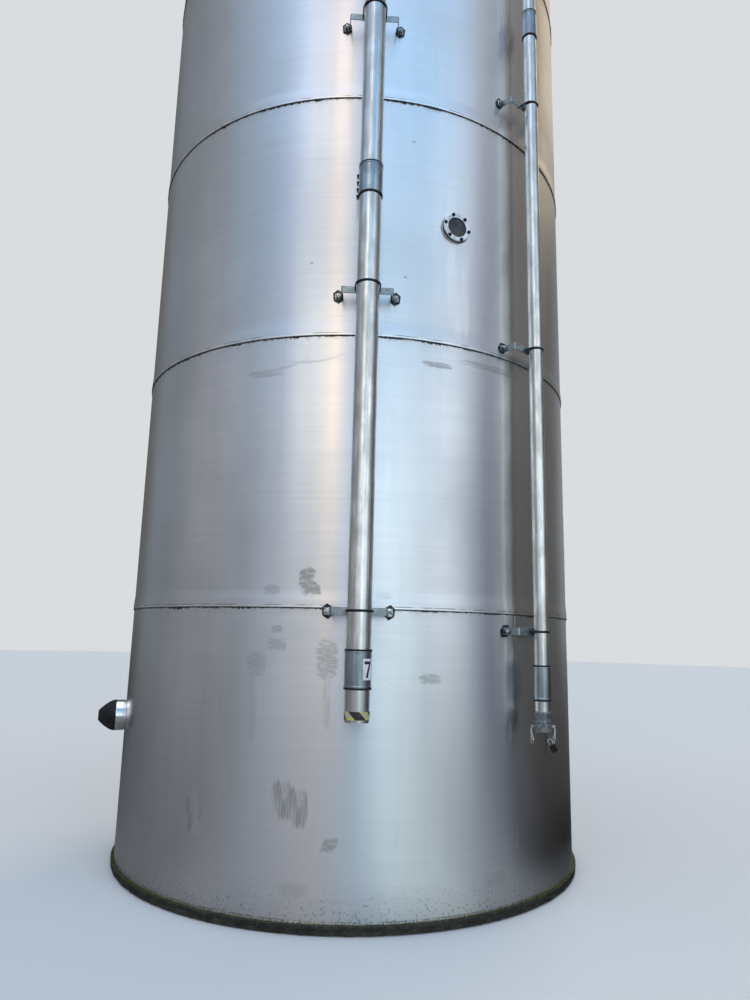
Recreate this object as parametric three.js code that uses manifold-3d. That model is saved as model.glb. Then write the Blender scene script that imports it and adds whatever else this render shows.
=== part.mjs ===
// Aluminium storage silo with a vent line and a fill line up the front of its wall.
// Millimetres, +Z up. The origin is on the ground under the middle of the shell.
// An azimuth is in degrees, from the front (-Y) towards the right (+X).

import * as THREE from "three";
import { mergeVertices } from "three/addons/utils/BufferGeometryUtils.js";
import Module from "manifold-3d";

const wasm = await Module();
wasm.setup();

// Driving dimensions of the shell
const SHELL_RADIUS = 1829;
const SHELL_PLATE = 6;
const SHELL_SIDES = 60;
const HOLE_SIDES = 32;
const HOLE_REACH = 100;
const COURSE_COUNT = 6;
const COURSE_PITCH = 1843;
const LAP_SKIRT = 25;
const LAP_JOGGLE = 12;
const LAP_INSERT = 22;
const LAP_GAP = 0.5;
const SEAT_GAP = 0.3;

// Driving dimensions of the base
const BED_RADIUS = 1850;
const BED_HEIGHT = 40;
const FLANGE_OUTER = 1853;
const FLANGE_INNER = 1745;
const FLANGE_TOP = 60;
const FLOOR_PLATE = 8;

// Driving dimensions of the roof
const ROOF_PITCH = 15;
const ROOF_SHEET = 5;
const ROOF_EDGE = 1853;
const HATCH_RADIUS = 305;
const HATCH_WALL = 6;
const HATCH_NECK_UP = 140;
const HATCH_NECK_DOWN = 30;
const HATCH_LID_EDGE = 20;
const HATCH_LID_RIM = 45;
const HATCH_SIDES = 30;
const ROOF_CUT = 500;

// Driving dimensions of the two pipe lines
const PIPE_SIDES = 20;
const END_SIDES = 24;
const PIN_SIDES = 16;
const PIPE_WALL = 3;
const BEND_STEPS = 5;
const BEND_TANGENT = 20;
const COUPLING_LENGTH = 215;
const COUPLING_GASKET = 4;
const COUPLING_SLEEVE = 4;
const LUG_REACH = 34;
const LUG_THICK = 22;
const LUG_INSET = 8;
const VENT_LUG_AZIMUTHS = [140, -130];
const FILL_LUG_AZIMUTHS = [150, 110];
const VENT = {
  azimuth: 1.3,
  offset: 2012,
  radius: 76.2,
  low: 1229,
  joints: [1535, 4786],
  bracketFirst: 1881,
  bracketStep: 2144,
  bend: 240,
  crown: 11400,
  drop: 265,
};
const FILL = {
  azimuth: 40.9,
  offset: 1975,
  radius: 50.8,
  low: 1263,
  joints: [1448, 6588],
  bracketFirst: 1786,
  bracketStep: 2036,
  bend: 200,
  crown: 11400,
  drop: 275,
};
const BRACKET_COUNT = 5;
const STRAP_HEIGHT = 50;
const STRAP_PLATE = 6;
const STRAP_HALF = 178;
const LEG_SPLAY = 3;
const FOOT_CENTRE = 197;
const FOOT_HALF = 23;
const FOOT_SINK = 30;
const FOOT_SETTLE = 2;

// Driving dimensions of the fill line's coupling end
const ADAPTER_BAND = 60;
const ADAPTER_GROOVE = 57;
const ADAPTER_RIM = 62;
const ADAPTER_LIP = 10;
const GROOVE_HALF = 2;
const BAND_GAP = 5;
const SPIGOT_RADIUS = 54;
const SPIGOT_GAP = 12;
const CAP_RADIUS = 58;
const CAP_LIP = 59.5;
const CAP_LOW = 1132;
const CAP_HIGH = 1185;
const CAP_FLOOR = 8;
const CAP_LIP_HEIGHT = 6;
const CAP_FIT = 0.4;
const PIVOT_REACH = 73.5;
const PIVOT_HEIGHT = 1168;
const PIN_RADIUS = 4;
const PIN_CLEARANCE = 0.4;
const CAM_RADIUS = 9;
const ARM_HALF_WIDTH = 6;
const EAR_GAP = 1.2;
const EAR_PLATE = 4;
const EAR_ROOT = 4;
const EAR_MARGIN = 4;
const ARM_EYE_DROP = 76;
const ARM_EYE_RADIUS = 11;
const ARM_EYE_HOLE = 6;
const ARM_BAR = 7;

// Driving dimensions of the padlock that hangs under the cap
const HASP_REACH = 45;
const HASP_HEIGHT = CAP_LOW - 42;
const HASP_HALF = 11;
const HASP_PLATE = 4;
const HASP_HOLE = 6;
const HASP_CLEARANCE = 0.8;
const LOCK_WIDTH = 40;
const LOCK_HEIGHT = 46;
const LOCK_DEPTH = 20;
const LOCK_TILT = 26;
const SHACKLE_BAR = 3.5;
const SHACKLE_HALF = 12.5;
const SHACKLE_LEG = 30;

// Driving dimensions of the sight glass and the outlet
const GLASS = { azimuth: 21.6, height: 4649, flange: 110, window: 74, proud: 26, pane: 10, recess: 8 };
const OUTLET = { azimuth: -73.5, height: 1083, neck: 109, wall: 6, inside: 30, neckOut: 66 };
const BOOT_WALL = 3.4;
const CLAMP_PLATE = 2.5;
const CLAMP_FROM = 10;
const CLAMP_TO = 72;
const CLAMP_OVERHANG = 4;
const BOOT_TIP = 200;
const BOOT_MOUTH = 38;
const BOOT_SKIN = 4.5;
const BOOT_OUTLINE = [[113, 94], [103, 120], [84, 150], [58, 180]];
const GLASS_SINK = 20;
const GLASS_CUT = 60;

const EAVE = FLANGE_TOP + COURSE_COUNT * COURSE_PITCH;
const ROOF_SLOPE = Math.tan(THREE.MathUtils.degToRad(ROOF_PITCH));
const OUTWARD = -1;

// Materials
const shellAluminium = finish(0xb4bac0, 0.38, 0.9);
const roofAluminium = finish(0xa9afb4, 0.45, 0.9);
const pipeAluminium = finish(0xc4c9cc, 0.3, 0.95);
const galvanised = finish(0x6f7b87, 0.5, 0.85);
const castGrey = finish(0x5c625f, 0.7, 0.7);
const adapterGrey = finish(0x3a3f4b, 0.6, 0.7);
const armSteel = finish(0x8a8f90, 0.45, 0.9);
const lockBlack = finish(0x0c0d0f, 0.5, 0.3);
const rubber = finish(0x07080c, 0.85, 0);
const mortar = finish(0x6d6a62, 0.95, 0);
const pane = finish(0x2b3136, 0.1, 0);

function finish(color, roughness, metalness) {
  return new THREE.MeshStandardMaterial({ color, roughness, metalness });
}

// Turns a three.js geometry into a solid that can be joined and cut.
function toSolid(geometry) {
  const bare = geometry.clone();
  bare.deleteAttribute("normal");
  bare.deleteAttribute("uv");
  const merged = mergeVertices(bare);
  return new wasm.Manifold(new wasm.Mesh({
    numProp: 3,
    vertProperties: new Float32Array(merged.attributes.position.array),
    triVerts: new Uint32Array(merged.index.array),
  }));
}

// Turns a solid back into a three.js geometry.
function toGeometry(solid) {
  const mesh = solid.getMesh();
  const geometry = new THREE.BufferGeometry();
  geometry.setAttribute("position", new THREE.BufferAttribute(mesh.vertProperties, 3));
  geometry.setIndex(new THREE.BufferAttribute(mesh.triVerts, 1));
  geometry.computeVertexNormals();
  return geometry;
}

// Turns a closed outline of [radius, height] points round the Z axis, the outer side going up.
function turned(outline, sides) {
  const points = outline.map(([radius, height]) => new THREE.Vector2(radius, height));
  points.push(points[0].clone());
  return new THREE.LatheGeometry(points, sides).rotateX(Math.PI / 2);
}

function ring(inner, outer, low, high, sides) {
  return turned([[outer, low], [outer, high], [inner, high], [inner, low]], sides);
}

// Turns an outline that starts and ends on the axis, so it isn't closed there.
function spun(outline, sides) {
  const points = outline.map(([radius, height]) => new THREE.Vector2(radius, height));
  return new THREE.LatheGeometry(points, sides).rotateX(Math.PI / 2);
}

function disc(radius, low, high, sides) {
  return spun([[0, low], [radius, low], [radius, high], [0, high]], sides);
}

function extruded(outline, depth) {
  const shape = new THREE.Shape(outline.map(([x, y]) => new THREE.Vector2(x, y)));
  return new THREE.ExtrudeGeometry(shape, { depth, bevelEnabled: false });
}

// The shell's own outer surface as a solid, seen from a group turned to an azimuth.
function shellBody(radius, low, high, azimuth) {
  const turn = THREE.MathUtils.degToRad(-azimuth);
  return toSolid(disc(radius, low, high, SHELL_SIDES).rotateZ(turn));
}

// A round rod or cutter that points outwards from the shell, at a height in a turned group.
function radialRod(radius, from, to, height, sides) {
  const rod = new THREE.CylinderGeometry(radius, radius, to - from, sides);
  return rod.translate(0, OUTWARD * (from + to) / 2, height);
}

function turnedGroup(azimuth) {
  const group = new THREE.Group();
  group.rotation.z = THREE.MathUtils.degToRad(azimuth);
  return group;
}

function add(parent, name, geometry, material) {
  const mesh = new THREE.Mesh(geometry, material);
  mesh.name = name;
  parent.add(mesh);
  return mesh;
}

// Mortar bed, and a floor plate whose thick rim stands proud of the shell as a flange
function base(silo) {
  add(silo, "mortar_bed", disc(BED_RADIUS, 0, BED_HEIGHT, SHELL_SIDES), mortar);
  const low = BED_HEIGHT + SEAT_GAP;
  const plate = spun([
    [0, low],
    [FLANGE_OUTER, low],
    [FLANGE_OUTER, FLANGE_TOP],
    [FLANGE_INNER, FLANGE_TOP],
    [FLANGE_INNER, low + FLOOR_PLATE],
    [0, low + FLOOR_PLATE],
  ], SHELL_SIDES);
  add(silo, "base_plate", plate, shellAluminium);
}

// The first course stands on the flange and has no skirt.
function firstCourse() {
  const low = FLANGE_TOP + SEAT_GAP;
  const high = FLANGE_TOP + COURSE_PITCH + LAP_INSERT;
  return ring(SHELL_RADIUS - SHELL_PLATE, SHELL_RADIUS, low, high, SHELL_SIDES);
}

// Each later course laps outside the one below with a short joggled skirt.
function lappedCourse(index) {
  const low = FLANGE_TOP + index * COURSE_PITCH;
  const last = index === COURSE_COUNT - 1;
  const high = low + COURSE_PITCH + (last ? 0 : LAP_INSERT);
  const outer = SHELL_RADIUS;
  const inner = SHELL_RADIUS - SHELL_PLATE;
  const skirtInner = SHELL_RADIUS + LAP_GAP;
  const skirtOuter = skirtInner + SHELL_PLATE;
  const shoulder = low + LAP_SKIRT;
  const straight = shoulder + LAP_JOGGLE;
  return turned([
    [skirtOuter, low],
    [skirtOuter, shoulder],
    [outer, straight],
    [outer, high],
    [inner, high],
    [inner, straight],
    [skirtInner, shoulder],
    [skirtInner, low],
  ], SHELL_SIDES);
}

// A round hole through the wall, cut from a course.
function holed(geometry, radius, azimuth, height) {
  const from = SHELL_RADIUS - HOLE_REACH;
  const to = SHELL_RADIUS + HOLE_REACH;
  const turn = THREE.MathUtils.degToRad(azimuth);
  const cutter = radialRod(radius, from, to, height, HOLE_SIDES).rotateZ(turn);
  return toGeometry(toSolid(geometry).subtract(toSolid(cutter)));
}

function courses(silo) {
  const outletHole = OUTLET.neck + SEAT_GAP;
  const first = holed(firstCourse(), outletHole, OUTLET.azimuth, OUTLET.height);
  add(silo, "shell_course_1", first, shellAluminium);
  const glassCourse = Math.floor((GLASS.height - FLANGE_TOP) / COURSE_PITCH);
  for (let index = 1; index < COURSE_COUNT; index += 1) {
    let course = lappedCourse(index);
    if (index === glassCourse) {
      course = holed(course, GLASS.window, GLASS.azimuth, GLASS.height);
    }
    add(silo, `shell_course_${index + 1}`, course, shellAluminium);
  }
}

// Height of the roof sheet's underside at a distance from the silo's axis. It bears on the
// top course's outer edge and runs on down to a drip edge.
function roofUnder(radius) {
  return EAVE + SEAT_GAP + (SHELL_RADIUS - radius) * ROOF_SLOPE;
}

// A cutter for the hole where a line comes down through the roof, straight behind its foot.
// The bend turns the tube over, so its corners lie the other way round there.
function roofHole(line) {
  const turn = THREE.MathUtils.degToRad(line.azimuth);
  const across = line.offset * Math.sin(turn);
  const behind = OUTWARD * line.offset * Math.cos(turn) + 2 * (line.bend + BEND_TANGENT);
  const cutter = disc(line.radius + SEAT_GAP, EAVE, EAVE + ROOF_CUT, PIPE_SIDES);
  return cutter.rotateZ(-turn).translate(across, behind, 0);
}

// A low cone of sheet, holed where the two lines come down.
function roofCone() {
  const cone = turned([
    [ROOF_EDGE, roofUnder(ROOF_EDGE)],
    [ROOF_EDGE, roofUnder(ROOF_EDGE) + ROOF_SHEET],
    [HATCH_RADIUS, roofUnder(HATCH_RADIUS) + ROOF_SHEET],
    [HATCH_RADIUS, roofUnder(HATCH_RADIUS)],
  ], SHELL_SIDES);
  let solid = toSolid(cone);
  for (const line of [VENT, FILL]) {
    solid = solid.subtract(toSolid(roofHole(line)));
  }
  return toGeometry(solid);
}

function hatch(silo) {
  const outer = HATCH_RADIUS - SEAT_GAP;
  const seat = roofUnder(HATCH_RADIUS) + ROOF_SHEET;
  const top = seat + HATCH_NECK_UP;
  const neck = ring(outer - HATCH_WALL, outer, seat - HATCH_NECK_DOWN, top, HATCH_SIDES);
  add(silo, "roof_hatch_neck", neck, roofAluminium);
  const lidRadius = HATCH_RADIUS + HATCH_LID_EDGE;
  const lidLow = top + SEAT_GAP;
  const cover = spun([
    [0, lidLow],
    [lidRadius - ROOF_SHEET, lidLow],
    [lidRadius - ROOF_SHEET, lidLow - HATCH_LID_RIM],
    [lidRadius, lidLow - HATCH_LID_RIM],
    [lidRadius, lidLow + ROOF_SHEET],
    [0, lidLow + 3 * ROOF_SHEET],
  ], HATCH_SIDES);
  add(silo, "roof_hatch_cover", cover, roofAluminium);
}

// A path of straight runs from point to point, with a section at each point.
class Route extends THREE.Curve {
  constructor(points) {
    super();
    this.points = points;
    this.sections = points.length - 1;
  }

  getUtoTmapping(u) {
    return u;
  }

  getPoint(t, target = new THREE.Vector3()) {
    const station = t * this.sections;
    const index = Math.min(Math.floor(station), this.sections - 1);
    return target.lerpVectors(this.points[index], this.points[index + 1], station - index);
  }
}

// Points round a quarter circle that starts upright at the origin and turns back, or, from the
// second quarter on, that starts level at its top and turns down.
function quarterTurn(radius, quarter, behind) {
  const points = [];
  for (let step = 0; step <= BEND_STEPS; step += 1) {
    const angle = (quarter + step / BEND_STEPS) * Math.PI / 2;
    const back = behind + radius * (1 - Math.cos(angle));
    points.push(new THREE.Vector3(0, back, radius * Math.sin(angle)));
  }
  return points;
}

// A tube's section, its corners starting at an angle that lines them up with a straight tube's.
function pipeSection(radius, start) {
  const section = new THREE.Shape();
  section.absarc(0, 0, radius, start, start + 2 * Math.PI, false);
  const bore = new THREE.Path();
  bore.absarc(0, 0, radius - PIPE_WALL, start + 2 * Math.PI, start, true);
  section.holes.push(bore);
  return section;
}

function bentTube(line, points) {
  const turn = THREE.MathUtils.degToRad(line.azimuth);
  const path = new Route(points);
  const geometry = new THREE.ExtrudeGeometry(pipeSection(line.radius, turn), {
    steps: path.sections,
    curveSegments: PIPE_SIDES / 2,
    extrudePath: path,
  });
  return geometry.rotateZ(-turn).translate(0, OUTWARD * line.offset, line.crown);
}

// The first elbow over the eave turns the line from upright to level, straight back.
function risingElbow(line) {
  const foot = new THREE.Vector3(0, 0, -BEND_TANGENT);
  const end = new THREE.Vector3(0, line.bend + BEND_TANGENT, line.bend);
  return bentTube(line, [foot, ...quarterTurn(line.bend, 0, 0), end]);
}

// The second elbow turns it down and drops through the roof.
function fallingElbow(line) {
  const start = new THREE.Vector3(0, line.bend + BEND_TANGENT + SEAT_GAP, line.bend);
  const behind = 2 * BEND_TANGENT;
  const end = new THREE.Vector3(0, behind + 2 * line.bend, -line.drop);
  return bentTube(line, [start, ...quarterTurn(line.bend, 1, behind), end]);
}

function straightPipe(line, low, high) {
  const tube = ring(line.radius - PIPE_WALL, line.radius, low, high, PIPE_SIDES);
  return tube.translate(0, OUTWARD * line.offset, 0);
}

// A split sleeve over a pipe joint, with its bolted lugs to one side.
function coupling(line, height, lugAzimuth) {
  const inner = line.radius + SEAT_GAP;
  const outer = line.radius + COUPLING_GASKET + COUPLING_SLEEVE;
  const half = COUPLING_LENGTH / 2;
  const sleeve = toSolid(ring(inner, outer, -half, half, PIPE_SIDES));
  const lugDepth = LUG_REACH + COUPLING_SLEEVE;
  const lugs = new THREE.BoxGeometry(LUG_THICK, lugDepth, COUPLING_LENGTH - LUG_INSET);
  lugs.translate(0, OUTWARD * (outer + (LUG_REACH - COUPLING_SLEEVE) / 2), 0);
  lugs.rotateZ(THREE.MathUtils.degToRad(lugAzimuth));
  const joined = toGeometry(sleeve.add(toSolid(lugs)));
  return joined.translate(0, OUTWARD * line.offset, height);
}

// A hat-shaped flat bar whose feet lie on the shell and whose crown carries the pipe's back.
// Where it crosses a lap, its feet are notched over the skirt.
function bracket(line, height) {
  const crownOuter = line.offset - line.radius - SEAT_GAP;
  const crownInner = crownOuter - STRAP_PLATE;
  const footInner = SHELL_RADIUS - FOOT_SINK;
  const footOuter = SHELL_RADIUS * Math.cos(FOOT_CENTRE / SHELL_RADIUS) + STRAP_PLATE;
  const right = [
    [STRAP_HALF, crownOuter],
    [STRAP_HALF + LEG_SPLAY, footOuter + FOOT_SETTLE],
    [FOOT_CENTRE + FOOT_HALF, footOuter - FOOT_SETTLE],
    [FOOT_CENTRE + FOOT_HALF, footInner],
    [STRAP_HALF + LEG_SPLAY - STRAP_PLATE, footInner],
    [STRAP_HALF - STRAP_PLATE, crownInner],
  ];
  const left = right.map(([x, v]) => [-x, v]).reverse();
  const outline = [...right, ...left].map(([x, v]) => [x, OUTWARD * v]);
  const bar = extruded(outline.reverse(), STRAP_HEIGHT);
  bar.translate(0, 0, height - STRAP_HEIGHT / 2);
  const low = height - STRAP_HEIGHT;
  const high = height + STRAP_HEIGHT;
  const shell = shellBody(SHELL_RADIUS + SEAT_GAP, low, high, line.azimuth);
  const lap = FLANGE_TOP + Math.round((height - FLANGE_TOP) / COURSE_PITCH) * COURSE_PITCH;
  const skirtRadius = SHELL_RADIUS + LAP_GAP + SHELL_PLATE + SEAT_GAP;
  const skirtHigh = lap + LAP_SKIRT + LAP_JOGGLE;
  const skirt = shellBody(skirtRadius, lap - SEAT_GAP, skirtHigh, line.azimuth);
  return toGeometry(toSolid(bar).subtract(shell).subtract(skirt));
}

function brackets(group, line, prefix) {
  for (let index = 0; index < BRACKET_COUNT; index += 1) {
    const height = line.bracketFirst + index * line.bracketStep;
    add(group, `${prefix}_bracket_${index + 1}`, bracket(line, height), galvanised);
  }
}

// A line's tubes from its open end up to the eave, its elbows, couplings and brackets.
function pipeLine(silo, line, prefix, low, lugAzimuths) {
  const group = turnedGroup(line.azimuth);
  const half = SEAT_GAP / 2;
  const stops = [low - half, ...line.joints, line.crown - BEND_TANGENT - half];
  ["end", "lower", "upper"].forEach((place, index) => {
    const tube = straightPipe(line, stops[index] + half, stops[index + 1] - half);
    add(group, `${prefix}_pipe_${place}`, tube, pipeAluminium);
  });
  add(group, `${prefix}_elbow_rise`, risingElbow(line), pipeAluminium);
  add(group, `${prefix}_elbow_fall`, fallingElbow(line), pipeAluminium);
  line.joints.forEach((height, index) => {
    const sleeve = coupling(line, height, lugAzimuths[index]);
    add(group, `${prefix}_coupling_${index + 1}`, sleeve, galvanised);
  });
  brackets(group, line, prefix);
  silo.add(group);
}

// The ribbed adapter under the fill pipe, whose spigot plugs into the cap.
function fillAdapter() {
  const bore = FILL.radius - PIPE_WALL;
  const spigotLow = CAP_LOW + CAP_FLOOR + SPIGOT_GAP;
  const bandLow = CAP_HIGH + BAND_GAP;
  const bandHigh = FILL.low - ADAPTER_LIP;
  const bandMid = (bandLow + bandHigh) / 2;
  return turned([
    [SPIGOT_RADIUS, spigotLow],
    [SPIGOT_RADIUS, bandLow],
    [ADAPTER_BAND, bandLow],
    [ADAPTER_BAND, bandMid - GROOVE_HALF],
    [ADAPTER_GROOVE, bandMid - GROOVE_HALF],
    [ADAPTER_GROOVE, bandMid + GROOVE_HALF],
    [ADAPTER_BAND, bandMid + GROOVE_HALF],
    [ADAPTER_BAND, bandHigh],
    [ADAPTER_RIM, bandHigh + 1],
    [ADAPTER_RIM, FILL.low],
    [bore, FILL.low],
    [bore, spigotLow],
  ], END_SIDES);
}

// One pair of ears and the pin between them, on the cap's right side.
function capEars(side) {
  const earInner = ARM_HALF_WIDTH + EAR_GAP;
  const root = CAP_RADIUS - EAR_ROOT;
  const reach = PIVOT_REACH + PIN_RADIUS + EAR_MARGIN - root;
  const height = 2 * (PIN_RADIUS + EAR_MARGIN);
  let ears = null;
  for (const way of [-1, 1]) {
    const ear = new THREE.BoxGeometry(reach, EAR_PLATE, height);
    ear.translate(side * (root + reach / 2), way * (earInner + EAR_PLATE / 2), PIVOT_HEIGHT);
    ears = ears ? ears.add(toSolid(ear)) : toSolid(ear);
  }
  const pinLength = 2 * (earInner + EAR_PLATE / 2);
  const pin = new THREE.CylinderGeometry(PIN_RADIUS, PIN_RADIUS, pinLength, PIN_SIDES);
  pin.translate(side * PIVOT_REACH, 0, PIVOT_HEIGHT);
  return ears.add(toSolid(pin));
}

// A plate under the cap's right side with a hole for the padlock's shackle.
function capHasp() {
  const top = CAP_LOW + CAP_FLOOR / 2;
  const height = top - (HASP_HEIGHT - HASP_HALF);
  const plate = new THREE.BoxGeometry(HASP_PLATE, 2 * HASP_HALF, height);
  plate.translate(HASP_REACH, 0, top - height / 2);
  const hole = new THREE.CylinderGeometry(HASP_HOLE, HASP_HOLE, 5 * HASP_PLATE, PIN_SIDES);
  hole.rotateZ(Math.PI / 2).translate(HASP_REACH, 0, HASP_HEIGHT);
  return toSolid(plate).subtract(toSolid(hole));
}

// The cast dust cap, a cup with two pairs of ears and a hasp.
function fillCap() {
  const inner = SPIGOT_RADIUS + CAP_FIT;
  const cup = spun([
    [0, CAP_LOW],
    [CAP_RADIUS, CAP_LOW],
    [CAP_RADIUS, CAP_HIGH - CAP_LIP_HEIGHT],
    [CAP_LIP, CAP_HIGH - CAP_LIP_HEIGHT + 1],
    [CAP_LIP, CAP_HIGH],
    [inner, CAP_HIGH],
    [inner, CAP_LOW + CAP_FLOOR],
    [0, CAP_LOW + CAP_FLOOR],
  ], END_SIDES);
  const cut = toSolid(disc(inner, CAP_LOW + CAP_FLOOR, CAP_HIGH + 1, END_SIDES));
  const fittings = capEars(1).add(capEars(-1)).subtract(cut);
  return toGeometry(toSolid(cup).add(fittings).add(capHasp()));
}

// A lever with a round cam head on the pin, a bar that hangs down and an eye at its end.
function camArm(side) {
  const eyeHeight = -ARM_EYE_DROP;
  const round = (radius, height) => {
    const disk = new THREE.CylinderGeometry(radius, radius, 2 * ARM_HALF_WIDTH, END_SIDES);
    return toSolid(disk.translate(0, 0, height));
  };
  const bar = new THREE.BoxGeometry(ARM_BAR, 2 * ARM_HALF_WIDTH, ARM_EYE_DROP);
  bar.translate(side * (CAM_RADIUS - ARM_BAR) / 2, 0, eyeHeight / 2);
  const through = 4 * ARM_HALF_WIDTH;
  const eyeHole = new THREE.CylinderGeometry(ARM_EYE_HOLE, ARM_EYE_HOLE, through, PIN_SIDES);
  eyeHole.translate(0, 0, eyeHeight);
  const bore = PIN_RADIUS + PIN_CLEARANCE;
  const pinHole = new THREE.CylinderGeometry(bore, bore, through, PIN_SIDES);
  const lever = round(CAM_RADIUS, 0).add(toSolid(bar)).add(round(ARM_EYE_RADIUS, eyeHeight));
  return toGeometry(lever.subtract(toSolid(eyeHole)).subtract(toSolid(pinHole)));
}

// A block with a U-shaped shackle, tilted about the middle of the shackle's bend.
function padlock() {
  const block = new THREE.BoxGeometry(LOCK_WIDTH, LOCK_DEPTH, LOCK_HEIGHT);
  block.translate(0, 0, -SHACKLE_LEG - LOCK_HEIGHT / 2);
  const leg = SHACKLE_LEG + SHACKLE_BAR;
  const path = new Route([
    new THREE.Vector3(0, 0, -leg),
    ...quarterTurn(SHACKLE_HALF, 0, 0),
    ...quarterTurn(SHACKLE_HALF, 1, 0).slice(1),
    new THREE.Vector3(0, 2 * SHACKLE_HALF, -leg),
  ]);
  const section = new THREE.Shape();
  section.absarc(0, 0, SHACKLE_BAR, 0, 2 * Math.PI, false);
  const bar = new THREE.ExtrudeGeometry(section, {
    steps: path.sections,
    curveSegments: 4,
    extrudePath: path,
  });
  bar.translate(0, -SHACKLE_HALF, 0).rotateZ(Math.PI / 2);
  const joined = toGeometry(toSolid(block).add(toSolid(bar)));
  return joined.rotateY(THREE.MathUtils.degToRad(-LOCK_TILT));
}

// The capped end of the fill line, square to the front of the silo.
function fillEnd(silo) {
  const turn = THREE.MathUtils.degToRad(FILL.azimuth);
  const group = new THREE.Group();
  group.position.set(FILL.offset * Math.sin(turn), OUTWARD * FILL.offset * Math.cos(turn), 0);
  add(group, "fill_adapter", fillAdapter(), adapterGrey);
  add(group, "fill_cap", fillCap(), castGrey);
  const left = add(group, "cam_arm_left", camArm(-1), armSteel);
  left.position.set(-PIVOT_REACH, 0, PIVOT_HEIGHT);
  const right = add(group, "cam_arm_right", camArm(1), armSteel);
  right.position.set(PIVOT_REACH, 0, PIVOT_HEIGHT);
  const lock = add(group, "padlock", padlock(), lockBlack);
  const holeFloor = HASP_HEIGHT - HASP_HOLE;
  lock.position.set(HASP_REACH, 0, holeFloor - (SHACKLE_HALF - SHACKLE_BAR) + HASP_CLEARANCE);
  silo.add(group);
}

// A bolted ring welded proud of the wall, with a glass pane in its bore.
function sightGlass(silo) {
  const group = turnedGroup(GLASS.azimuth);
  const outer = SHELL_RADIUS + GLASS.proud;
  const sunk = SHELL_RADIUS - GLASS_SINK;
  const body = toSolid(radialRod(GLASS.flange, sunk, outer, GLASS.height, HOLE_SIDES));
  const from = sunk - GLASS_CUT;
  const bore = radialRod(GLASS.window, from, outer + GLASS_CUT, GLASS.height, HOLE_SIDES);
  const low = GLASS.height - 2 * GLASS.flange;
  const high = GLASS.height + 2 * GLASS.flange;
  const shell = shellBody(SHELL_RADIUS + SEAT_GAP, low, high, GLASS.azimuth);
  const flange = toGeometry(body.subtract(toSolid(bore)).subtract(shell));
  add(group, "sight_glass_flange", flange, shellAluminium);
  const back = outer - GLASS.recess - GLASS.pane;
  const radius = GLASS.window - SEAT_GAP;
  const glass = radialRod(radius, back, back + GLASS.pane, GLASS.height, HOLE_SIDES);
  add(group, "sight_glass_pane", glass, pane);
  silo.add(group);
}

// Lays a turned outline of [radius, distance from the silo's axis] points on the outlet's axis.
function onOutlet(outline) {
  return turned(outline, HOLE_SIDES).rotateX(Math.PI / 2).translate(0, 0, OUTLET.height);
}

// A stub through the wall with a rubber boot held on it by a broad clamp.
function outlet(silo) {
  const group = turnedGroup(OUTLET.azimuth);
  const neckLow = SHELL_RADIUS - OUTLET.inside;
  const neckHigh = SHELL_RADIUS + OUTLET.neckOut;
  const neckBore = OUTLET.neck - OUTLET.wall;
  const neck = onOutlet([
    [OUTLET.neck, neckLow],
    [OUTLET.neck, neckHigh],
    [neckBore, neckHigh],
    [neckBore, neckLow],
  ]);
  add(group, "outlet_neck", neck, shellAluminium);
  const sleeveInner = OUTLET.neck + SEAT_GAP;
  const sleeveOuter = sleeveInner + BOOT_WALL;
  const bootLow = SHELL_RADIUS + CLAMP_FROM + CLAMP_OVERHANG;
  const bulge = [
    [sleeveOuter + CLAMP_PLATE, CLAMP_TO + 2],
    ...BOOT_OUTLINE,
    [BOOT_MOUTH, BOOT_TIP],
  ].map(([radius, reach]) => [radius, SHELL_RADIUS + reach]);
  const inside = bulge.slice(1).map(([radius, reach]) => [radius - BOOT_SKIN, reach]).reverse();
  const boot = onOutlet([
    [sleeveOuter, bootLow],
    [sleeveOuter, SHELL_RADIUS + CLAMP_TO + SEAT_GAP],
    ...bulge,
    ...inside,
    [sleeveInner, neckHigh + 2],
    [sleeveInner, bootLow],
  ]);
  add(group, "outlet_boot", boot, rubber);
  const clampInner = sleeveOuter + SEAT_GAP;
  const clampOuter = clampInner + CLAMP_PLATE;
  const clamp = onOutlet([
    [clampOuter, SHELL_RADIUS + CLAMP_FROM],
    [clampOuter, SHELL_RADIUS + CLAMP_TO],
    [clampInner, SHELL_RADIUS + CLAMP_TO],
    [clampInner, SHELL_RADIUS + CLAMP_FROM],
  ]);
  add(group, "outlet_clamp", clamp, pipeAluminium);
  silo.add(group);
}

const silo = new THREE.Group();
base(silo);
courses(silo);
add(silo, "roof_cone", roofCone(), roofAluminium);
hatch(silo);
pipeLine(silo, VENT, "vent", VENT.low, VENT_LUG_AZIMUTHS);
pipeLine(silo, FILL, "fill", FILL.low + SEAT_GAP, FILL_LUG_AZIMUTHS);
fillEnd(silo);
sightGlass(silo);
outlet(silo);

export default silo;
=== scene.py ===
# %% [markdown]
# # A storage silo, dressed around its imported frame
#
# The real thing is a tall aluminium tank of rolled courses that lap one over the next. A wide vent
# line and a slimmer fill line climb its front, and both turn over at the eave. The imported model
# gives the plain solids, and this file gives them their finish.
#
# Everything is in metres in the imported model's own frame: Z is up, the floor is at zero, and the
# front looks along -Y. An azimuth is in degrees from the front towards the right.

# %% Load the frame
import math

import bmesh
import bpy
import numpy as np
from mathutils import Matrix, Vector, noise


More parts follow.
